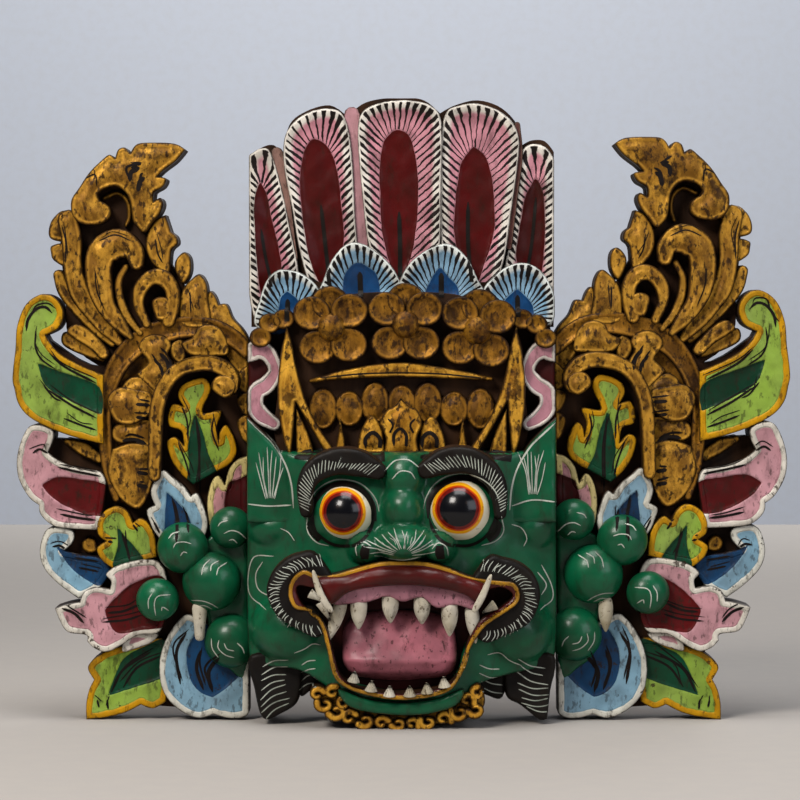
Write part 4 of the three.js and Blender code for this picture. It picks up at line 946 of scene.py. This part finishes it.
barbAxes = {  # where the barbs of a feather spread from, its foot, half width, and the steepest barb in degrees
    "feather 1": ((-139.5, 532), (-128.5, 424), 15, 50),
    "feather 2": ((-79.5, 559), (-72.5, 434), 31, 48),
    "feather 3": ((-3.5, 564), (-1.5, 439), 40, 48),
    "feather 4": ((72.5, 552), (73.5, 434), 36, 48),
    "feather 5": ((135.5, 532), (128.5, 439), 19, 50),
    "petal 1": ((-110.5, 399), (-113.5, 379), 38, 95),
    "petal 2": ((-40.5, 412), (-40.5, 394), 48, 95),
    "petal 3": ((39.5, 412), (39.5, 394), 48, 95),
    "petal 4": ((116.5, 402), (116.5, 384), 40, 95),
}
mouthOutline = squares("-102 141, -84 139, -60 135, -32 140, 1 142, 34 140, 62 136, 84 138, 98 140, 108 132, 96 121, "
    "76 108, 64 86, 58 64, 43 44, 1 36, -40 41, -59 52, -67 74, -76 106, -97 124")
gumOutline = squares("-72 140, 1 148, 74 138, 72 118, 53 123, 34 120, 18 130, 1 126, -16 131, -32 126, -50 124, "
    "-68 124")
upperLip = squares("-84 150, -57 153, -32 160, 1 163, 34 160, 60 152, 84 142, 76 124, 60 134, 30 141, 1 143, "
    "-28 141, -52 136, -69 124, -80 134")
faceOutline = squares("-153 272 1, 152 272 1, 153 84, 143 60, 108 52, 78 44, 58 26, 28 16, 1 14, -27 17, -57 26, "
    "-77 42, -102 56, -140 60, -153 79")
tongueOutline = squares("-59 82, -56 100, -42 112, -2 116, 36 112, 50 100, 54 82, 53 62, 40 49, -2 45, -42 49, "
    "-57 62")
lipEdges = {"band": ("yellowPaint", 0.0026), "insets": (0.0008, 0.0018)}  # the yellow line round the lips
faceMasses = [  # centre in squares, half sizes in squares, depth share of the centre, bulge share
    ((2, 249), (20, 25), 0.7, 0.13),  # forehead bump
    ((1, 216), (21, 26), 0.7, 0.17),  # bridge of the nose
    ((2, 184), (30, 19), 0.76, 0.24),  # tip of the nose
    ((-35, 179), (17, 16), 0.74, 0.18),  # nostrils
    ((36, 179), (17, 16), 0.74, 0.18),  # nostrils
    ((-57, 210), (37, 35), 0.64, 0.16),  # left and right eye sockets
    ((59, 212), (39, 37), 0.64, 0.16),  # left and right eye sockets
    ((-124, 196), (29, 22), 0.46, 0.15),  # cheekbones
    ((128, 196), (25, 24), 0.46, 0.15),  # cheekbones
    ((-108, 96), (42, 36), 0.48, 0.26),  # jowls
    ((110, 94), (40, 36), 0.48, 0.26),  # jowls
]
face = {
    "plan": [(-152, 0.46), (-120, 0.58), (-70, 0.7), (0, 0.76), (70, 0.7), (120, 0.58), (152, 0.46)],
    "profile": [(14, 0.58), (30, 0.74), (110, 0.8), (200, 0.74), (262, 0.66), (272, 0.5)],
    "mouthFloor": 0.58,
    "underLips": 0.4,
    "lipHigh": 0.92,
    "gumHigh": 0.83,
}
eyes = [  # centre in squares, radius in squares, depth share of the centre, bulge share, shift of the iris
    ((-54.5, 213), 28.5, 0.68, 0.19, (-0.11, 0.05)),
    ((57.5, 214.5), 31, 0.68, 0.19, (-0.08, 0.1)),
]
flowers = [((-69, 394), 4), ((4, 397), 0), ((75, 391), -5)]  # centre, turn in degrees
petal = {
    "angles": (90, 230, 310, 141, 39), "radius": 18.5, "reach": 24, "high": 0.53, "knobRadius": 14, "knobHigh": 0.58,
}
scallops = {"count": 7, "first": -78, "step": 26, "middle": 322, "half": (14.5, 21), "high": 0.47}
lowerTeeth = [(-47, 55), (-30, 46), (-12, 41), (8, 41), (25, 44), (42, 50)]
sideTeeth = [  # small teeth in the corners of the mouth: root, tip, radius in squares
    ((-89.5, 135), (-75.5, 127), 5), ((-79.5, 126), (-69.5, 108), 5), ((91.5, 124), (78.5, 116), 5.5),
]
collarCurls = [  # curls of the collar: across, up, size, where each starts to turn in degrees
    (-82.5, 34, 7, 20), (-75.5, 24, 8, 160), (-67.5, 36, 7, 60), (-63.5, 17, 9, 200),
    (-51.5, 11, 8, 30), (-35.5, 8, 8, 210), (-19.5, 6, 7, 20), (-3.5, 5, 7, 200),
    (10.5, 5, 7, 330), (25.5, 7, 8, 160), (41.5, 10, 8, 340), (56.5, 16, 9, 160),
    (64.5, 28, 8, 330), (72.5, 19, 8, 200), (75.5, 36, 7, 100), (-56.5, 25, 7, 60),
]
endPetals = [  # half flowers at both ends of the diadem
    (-139.5, 384), (-130.5, 398), (-116.5, 402), (119.5, 402), (133.5, 397), (142.5, 383),
]
# Painted lines: paint, half width in squares, and the points
maskStrokes = [
    (black, 1.6, "-141 492, -137 466, -130 434"), (black, 2.0, "-81 516, -77 479, -72 436"),
    (black, 2.2, "-3 509, -2 474, -2 444"), (black, 2.0, "66 519, 66 479, 69 439"),
    (black, 1.6, "134 524, 130 479, 124 444"), (black, 2.4, "-114 422, -114 400"), (black, 2.6, "-42 449, -41 424"),
    (black, 2.6, "39 448, 39 424"), (black, 2.4, "115 426, 115 404"), (white, 0.9, "-17 254, -7 264, 6 265, 16 258"),
    (white, 0.9, "-10 246, -2 254, 8 253, 13 246"), (white, 1.0, "-27 172, -12 169, 1 168, 18 171"),
    (white, 0.9, "-44 172, -45 181, -38 186, -30 182"), (white, 0.9, "29 179, 35 185, 43 181, 45 172"),
    (white, 0.9, "-127 168, -147 166, -153 144, -150 127, -134 116"),
    (white, 0.9, "-138 162, -145 149, -142 134, -127 127"), (white, 0.9, "138 159, 148 139, 149 124, 136 115"),
    (white, 0.9, "134 152, 143 139, 138 129"),
    (white, 1.3, "-153 304, -140 292, -127 279, -115 259, -109 239, -107 216"),
    (white, 1.1, "-152 220, -132 218, -109 219"),
    (white, 1.3, "152 301, 139 289, 126 276, 114 256, 108 236, 106 214"), (white, 1.1, "108 218, 128 224, 152 222"),
    (black, 2.6, "-83.5 192, -89 206.5, -87 221, -78 233.5, -64.5 240.5, -49.5 240, -36.5 232.5, "
     "-28.5 219.5, -27.5 204.5"),
    (white, 0.9, "-91.5 222.5, -85.5 232.5, -76.5 240, -65.5 244.5, -53.5 244.5, -42 241.5, -32.5 234.5, "
     "-25.5 225, -22.5 214"),
    (black, 1.6, "-82.5 193, -76.5 186.5, -69 182, -60.5 180, -51.5 180.5, -43.5 184, -36.5 189.5, "
     "-31 196.5, -28.5 205"),
    (black, 2.8, "25.5 207, 26.5 223.5, 35.5 237.5, 50 245.5, 66.5 246, 81 239, 90.5 225.5, 93 209, 87 193.5"),
    (white, 0.9, "20.5 216.5, 24 228.5, 31 239.5, 41.5 247, 54 250.5, 67 250, 79 245.5, 89 237, 95 226"),
    (black, 1.6, "26.5 207.5, 29.5 198, 35 190, 43 184, 52 181, 61.5 180, 71 182, 79.5 187, 86 194"),
    (black, 4.0, "-91 204, -88 194, -80 186"), (white, 0.9, "-93 210, -93 194, -84 183, -72 180"),
    (black, 4.2, "95 204, 92 192, 84 186"), (white, 0.9, "97 210, 100 194, 92 184, 78 180"),
    # The two wide dark strokes at 175 up are painted shade for the nostril holes
    (dark, 7, "-41 176, -32 175"), (dark, 7, "32 175, 41 176"), (white, 0.8, "-106 74, -96 78, -88 83, -80 82"),
    (white, 0.8, "84 72, 96 74, 106 66, 118 60"), (white, 0.8, "108 200, 118 196, 123 186, 120 178"),
    (white, 0.7, "-120 196, -112 192, -106 184"), (dark, 1.6, "-8 277, -8 288, -2 294, 4 288, 4 277"),
    (dark, 1.0, "-14 304, -9 298, -12 290"), (dark, 1.0, "13 304, 8 298, 11 290"),
    (dark, 2.0, "-36 275, -36 284, -29 290, -22 284, -22 275"), (dark, 2.0, "20 275, 20 284, 27 290, 34 284, 34 275"),
    # The two thick black bands at 266 to 270 up, along the foot of the diadem above the brows, are painted shade under
    # the diadem
    (dark, 0.7, "-80 344, -42 348, -2 349, 38 348, 78 344"), (black, 4.5, "-106 266, -82 270, -52 266, -17 267"),
    (black, 4.5, "18 267, 48 266, 78 270, 108 266"),
]
whiteLines = [  # half width in squares, and the strokes
    (0.62, fan((-81.5, 132), (38, 29), (49, 39), 82, 268, 36, 6, 3)),
    (0.62, fan((82.5, 127), (38, 29), (49, 39), 98, -88, 36, -6, 3)),
    (0.75, fan((1.5, 172), (9, 8), (37, 28), 10, 170, 15, 4, 6)),
    (0.5, fan((1.5, 172), (17, 13), (28, 22), 25, 155, 8, 4, 6)),
    (0.6, hatch("-96 218, -95 236, -86 253, -66 262, -46 261, -28 255", 32, 7, -28)),
    (0.6, hatch("98 216, 96 234, 85 252, 66 263, 44 262, 26 256", 32, 7, 28)),
    (0.85, hatch("-125 62, -128 36, -125 12", 8, 15, 22, 3)),
    (0.8, hatch("-92 64, -93 38", 4, 9, 22, 2)),
    (0.85, hatch("128 62, 130 36, 136 16", 8, 15, -22, -3)),
    (0.8, hatch("86 60, 90 34", 4, 12, -22, -2)),
    (0.75, fan((-129.5, 220), (8, 6), (27, 50), 58, 122, 8, 0, 9)),
    (0.75, fan((129.5, 224), (8, 6), (27, 50), 58, 122, 8, 0, 9)),
]


# How far a spot lies within an outline, eased from 0 at its edge to 1 inside
def within(x, z, outline):
    gap, _, inside = distanceTo(np.stack([x, z], axis=1), outline)
    return np.where(inside, ease(gap, 0.002, 0.005), 0)


# The rounded block of the face with its masses; it drops away under the lips
def faceHeight(lips):
    depth = grid["maskDepth"]
    plan, profile = smoothLine(face["plan"], 8), smoothLine(face["profile"], 8)
    soft = 0.0014

    def height(x, z, edge, core):
        u, w = x / grid["across"], z / grid["up"]
        tall = np.minimum(np.interp(u, plan[:, 0], plan[:, 1]), np.interp(w, profile[:, 0], profile[:, 1])) * depth
        for middle, half, share, bulge in faceMasses:
            inside = 1 - ((u - middle[0]) / half[0]) ** 2 - ((w - middle[1]) / half[1]) ** 2
            bump = share * depth + bulge * depth * np.where(inside > 0, np.sqrt(np.maximum(inside, 0)), inside)
            tall = soft * np.logaddexp(tall / soft, np.maximum(bump, -1) / soft)
        drop = within(x, z, lips)
        return tall * (1 - drop) + drop * face["underLips"] * depth - rounded(edge, 0.003) + handWaver(x, z)

    return height


# The same surface, dropped under the lips
def sunk(height, lips):

    def lowerHeight(x, z, edge, core):
        drop = within(x, z, lips)
        return height(x, z, edge, core) * (1 - drop) + drop * face["underLips"] * grid["maskDepth"]

    return lowerHeight


# The lips: a raised rim that slopes inwards to the open mouth
def funnel(top):
    return lambda x, z, edge, core: (
        top - rounded(edge, 0.0016) - 0.006 * ease(core, -0.012, -0.001) + handWaver(x, z))


# A hollowed petal with a thin raised rim
def cup(top):
    return lambda x, z, edge, core: (
        top - rounded(edge, 0.0012) - 0.0024 * ease(edge, 0.001, 0.006) + handWaver(x, z))


# The tongue rises from the throat to a fold near its tip, then curls down
def tongueHeight(x, z, edge, core):
    share = np.clip((z / grid["up"] - 47) / 68, 0, 1)
    arch = np.interp(share, [0, 0.12, 0.3, 0.42, 0.7, 1], [0.2, 0.75, 1.0, 0.82, 0.6, 0.2])
    side = 1 - 0.3 * (x / grid["across"] / 58) ** 2
    return grid["maskDepth"] * (0.6 + 0.18 * arch * side) - rounded(edge, 0.006) + handWaver(x, z)


def upperLipHeight(x, z, edge, core):
    return face["lipHigh"] * grid["maskDepth"] - rounded(edge, 0.007) + handWaver(x, z)


def mouthFloorHeight(x, z, edge, core):
    return face["mouthFloor"] * grid["maskDepth"] + 0 * x


# The rows of the table, with a mirrored twin for each left one that has no right one of its own
def addCarvedRows(carving, mouth, lips):
    labels = [row[0] for row in maskCarving]
    for label, paint, high, points in maskCarving:
        outline = drawn(points)
        outline[:, 0] = np.clip(outline[:, 0], -grid["seam"], grid["seam"])
        hasTwin = label.startswith("left ") and label.replace("left ", "right ") not in labels
        for flip in ([1, -1] if hasTwin else [1]):
            top = high * grid["maskDepth"] + carving["count"] * grid["shingle"]
            sheet = metres(outline * (flip, 1))
            if label == "lips":
                addRelief(carving, sheet, paint, funnel(top), core=mouth, hole=mouth, **lipEdges)
                continue
            height = carvedHeight(paint, top)
            if label.endswith("fringe"):
                height = sunk(height, lips)
            axis = None
            if label in barbAxes:
                focus, foot, radius, limit = barbAxes[label]
                axis = (*metres([focus, foot]), radius * grid["across"], math.radians(limit))
            core = metres(drawn(maskCores[label])) if label in maskCores else None
            addRelief(carving, sheet, paint, height, core=core, barbAxis=axis)


# Flowers, half flowers and scallops of the diadem
def addDiadem(carving):
    depth = grid["maskDepth"]
    for middle, turn in flowers:
        for i, way in enumerate(petal["angles"]):
            angle = math.radians(turn + way)
            spot = (middle[0] + petal["reach"] * math.cos(angle), middle[1] + petal["reach"] * math.sin(angle))
            outline = ellipse(spot, (petal["radius"], petal["radius"] * 0.92), 28, angle)
            addRelief(carving, metres(outline), "bronzePaint", cup(petal["high"] * depth + i * 0.0006))
        half = petal["knobRadius"] * grid["across"]
        x, z = metres([middle])[0]
        centre = (x, grid["back"] - petal["knobHigh"] * depth + half * 0.6, z)
        addBall(carving, centre, (half, half * 0.6, half), "darkGold")
    for x, z in endPetals:
        addRelief(carving, metres(ellipse((x, z), (11, 10), 20)), "darkGold", cup((0.5 + x * x * 1e-7) * depth))
    for i in range(scallops["count"]):
        drop = abs(i - (scallops["count"] - 1) / 2) * 3
        low = (i % 2) * 3
        middle = (scallops["first"] + i * scallops["step"], scallops["middle"] - drop - low)
        outline = ellipse(middle, (scallops["half"][0], scallops["half"][1] - low), 28)
        height = carvedHeight("goldPaint", scallops["high"] * depth + i * 0.0002)
        addRelief(carving, metres(outline), "bronzePaint", height)


# Curls of the collar, each a band that winds inwards
def addCollar(carving):
    for i, (x, z, radius, start) in enumerate(collarCurls):
        curl = []
        for k in range(7):
            angle, size = math.radians(start + k * 48), radius * (1 - 0.1 * k)
            curl.append((x + size * math.cos(angle), z + 0.85 * size * math.sin(angle), 3.9 - 0.25 * k))
        height = carvedHeight("goldPaint", 0.74 * grid["maskDepth"] + i * 0.00008)
        addRelief(carving, metres(bandOutline(curl, 3)), "brightGold", height)


def buildMask():
    depth = grid["maskDepth"]
    carving = newCarving()
    mouth = metres(smoothOutline(mouthOutline))
    lips = metres(drawn(next(row[3] for row in maskCarving if row[0] == "lips")))
    addRelief(carving, metres(smoothOutline(faceOutline)), "greenEnamel", faceHeight(lips))
    addCarvedRows(carving, mouth, lips)
    floor = metres(smoothOutline(mouthOutline) * (1.04, 1))
    addRelief(carving, floor, "oxbloodPaint", mouthFloorHeight, cell=0.006)
    addRelief(carving, metres(smoothOutline(gumOutline)), "gumPaint", carvedHeight("gumPaint", face["gumHigh"] * depth))
    addRelief(carving, metres(smoothOutline(upperLip)), "lipPaint", upperLipHeight)
    addDiadem(carving)
    for middle, radius, share, bulge, iris in eyes:
        x, z = metres([middle])[0]
        half = radius * grid["across"]
        centre = (x, grid["back"] - share * depth, z)
        addBall(carving, centre, (half, bulge * depth, half), "eyeEnamel", 64, 48, iris)
    addRelief(carving, metres(smoothOutline(tongueOutline)), "tonguePaint", tongueHeight)
    for x, z in lowerTeeth:
        addSpike(carving, (x, z - 7), (x * 0.97, z + 3.5), 0.82 * depth, 0.0043)
    for root, tip, radius in sideTeeth:
        addSpike(carving, root, tip, 0.84 * depth, radius * grid["across"])
    addCollar(carving)
    surface = BVHTree.FromBMesh(carving["mesh"])
    strokes = [(paint, width, squares(text)) for paint, width, text in maskStrokes]
    strokes += [(white, width, line) for width, lines in whiteLines for line in lines]
    for i, (paint, width, points) in enumerate(strokes):
        lift = 0.0002 + 0.00002 * (i % 9)  # strokes that cross lie at different heights
        taper = (0.35, 0.35) if paint == white else (0.3, 1)
        half = width * (0.66 if paint == white else 1) * grid["across"]
        addStroke(carving, points, half, paint, surface, lift, taper)
    pieceFrom(carving, "mask_carved", "mask")


buildMask()

toothNodes = [f"upper_fang_{i}" for i in range(1, 5)]
toothNodes += [f"{kind}_{side}" for kind in ("corner_fang", "tusk", "claw") for side in ("left", "right")]
toothFullness = 1.25  # makes good the girth that smoothing takes off


# A tooth or claw: the plain solid's form, merged and smoothed
def buildTooth(node):
    made = newMesh()
    made.from_mesh(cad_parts[node].data)
    bmesh.ops.transform(made, matrix=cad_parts[node].matrix_world, verts=made.verts)
    bmesh.ops.remove_doubles(made, verts=made.verts, dist=1e-6)
    bmesh.ops.dissolve_limit(made, angle_limit=0.02, verts=made.verts, edges=made.edges)
    bmesh.ops.recalc_face_normals(made, faces=made.faces[:])
    middle = sum((v.co for v in made.verts), Vector()) / len(made.verts)
    for v in made.verts:
        v.co.x = middle.x + (v.co.x - middle.x) * toothFullness
        v.co.y = middle.y + (v.co.y - middle.y) * toothFullness
    tagVerts(made)
    for f in made.faces:
        f.smooth = True
        f.material_index = 0
    tooth = objectFrom(made, node + "_carved", [materials["toothIvory"]])
    smooth = tooth.modifiers.new("soften", "SUBSURF")
    smooth.levels = smooth.render_levels = 2
    declare(tooth, node)


for node in toothNodes:
    buildTooth(node)

# The room round it: a pale floor, a pale wall and soft studio light
room = {
    "floor": "#a6a19c", "wall": "#cfd4de", "floorEnd": 2.0, "wallAt": 4.4, "skyGlow": 0.14,
    "camera": {"distance": 2.2, "lens": 154.5, "target": (-0.001, 0.0, 0.2085), "elevation": 1.6, "azimuth": 0.0},
    "lights": [  # name, place, aim, size, watts, colour
        ("key", (-1.0, -1.5, 1.6), (0, 0, 0.2), 0.7, 46, "#fff8f0"),
        ("fill", (1.5, -1.5, 0.9), (0, 0, 0.2), 1.2, 15, "#f2f5ff"),
        ("top", (0.0, -0.3, 1.7), (0, 0, 0.2), 0.9, 20, "#ffffff"),
        ("wall wash", (0.0, 2.4, 2.0), (0, 4.4, 0.3), 2.0, 54, "#ffffff"),
        ("back", (1.1, 1.9, 1.5), (0, 0, 0.2), 1.0, 14, "#ffffff"),
    ],
}


def plainMaterial(name, colour, rough):
    made = newMaterial(name)
    mixed = over(colour, "#b9b0a4", step(noise(60, 3), 0.4, 0.7, 0.0, 0.1))
    finishSurface(mixed, rough, [(noise(350, 2), 0.1, 0.0006)])
    return made


def standingSheet(name, material, half, turn, place):
    made = bmesh.new()
    bmesh.ops.create_grid(made, x_segments=1, y_segments=1, size=half)
    bmesh.ops.rotate(made, verts=made.verts, matrix=Matrix.Rotation(turn, 3, "X"))
    bmesh.ops.translate(made, verts=made.verts, vec=place)
    sheet = objectFrom(made, name, [material])


def buildRoom():
    # the floor ends where the wall begins to show, like the far edge of a table
    standingSheet("floor", plainMaterial("plain cloth", room["floor"], 0.85), 3, 0, (0, room["floorEnd"] - 3, 0))
    standingSheet("wall", plainMaterial("pale plaster", room["wall"], 0.9), 6, math.pi / 2, (0, room["wallAt"], 0))
    world = bpy.data.worlds.new("soft room")
    world.use_nodes = True
    sky = world.node_tree.nodes["Background"]
    sky.inputs[0].default_value = linear(room["wall"])
    sky.inputs[1].default_value = room["skyGlow"]
    bpy.context.scene.world = world
    bpy.context.scene.view_settings.view_transform = "Standard"
    for name, place, aim, size, watts, colour in room["lights"]:
        lamp = bpy.data.lights.new(name, "AREA")
        lamp.size = size
        lamp.energy = watts
        lamp.color = linear(colour)[:3]
        light = bpy.data.objects.new(name, lamp)
        light.location = place
        light.rotation_euler = (Vector(aim) - Vector(place)).to_track_quat("-Z", "Y").to_euler()
        bpy.context.scene.collection.objects.link(light)


def placeCamera():
    view = room["camera"]
    lens = bpy.data.cameras.new("camera")
    lens.lens = view["lens"]
    camera = bpy.data.objects.new("camera", lens)
    turn, lift = math.radians(view["azimuth"]), math.radians(view["elevation"])
    away = Vector((-math.sin(turn) * math.cos(lift), -math.cos(turn) * math.cos(lift), math.sin(lift)))
    camera.location = Vector(view["target"]) + away * view["distance"]
    camera.rotation_euler = (-away).to_track_quat("-Z", "Y").to_euler()
    bpy.context.scene.collection.objects.link(camera)
    bpy.context.scene.camera = camera


buildRoom()
placeCamera()
print("scene built")
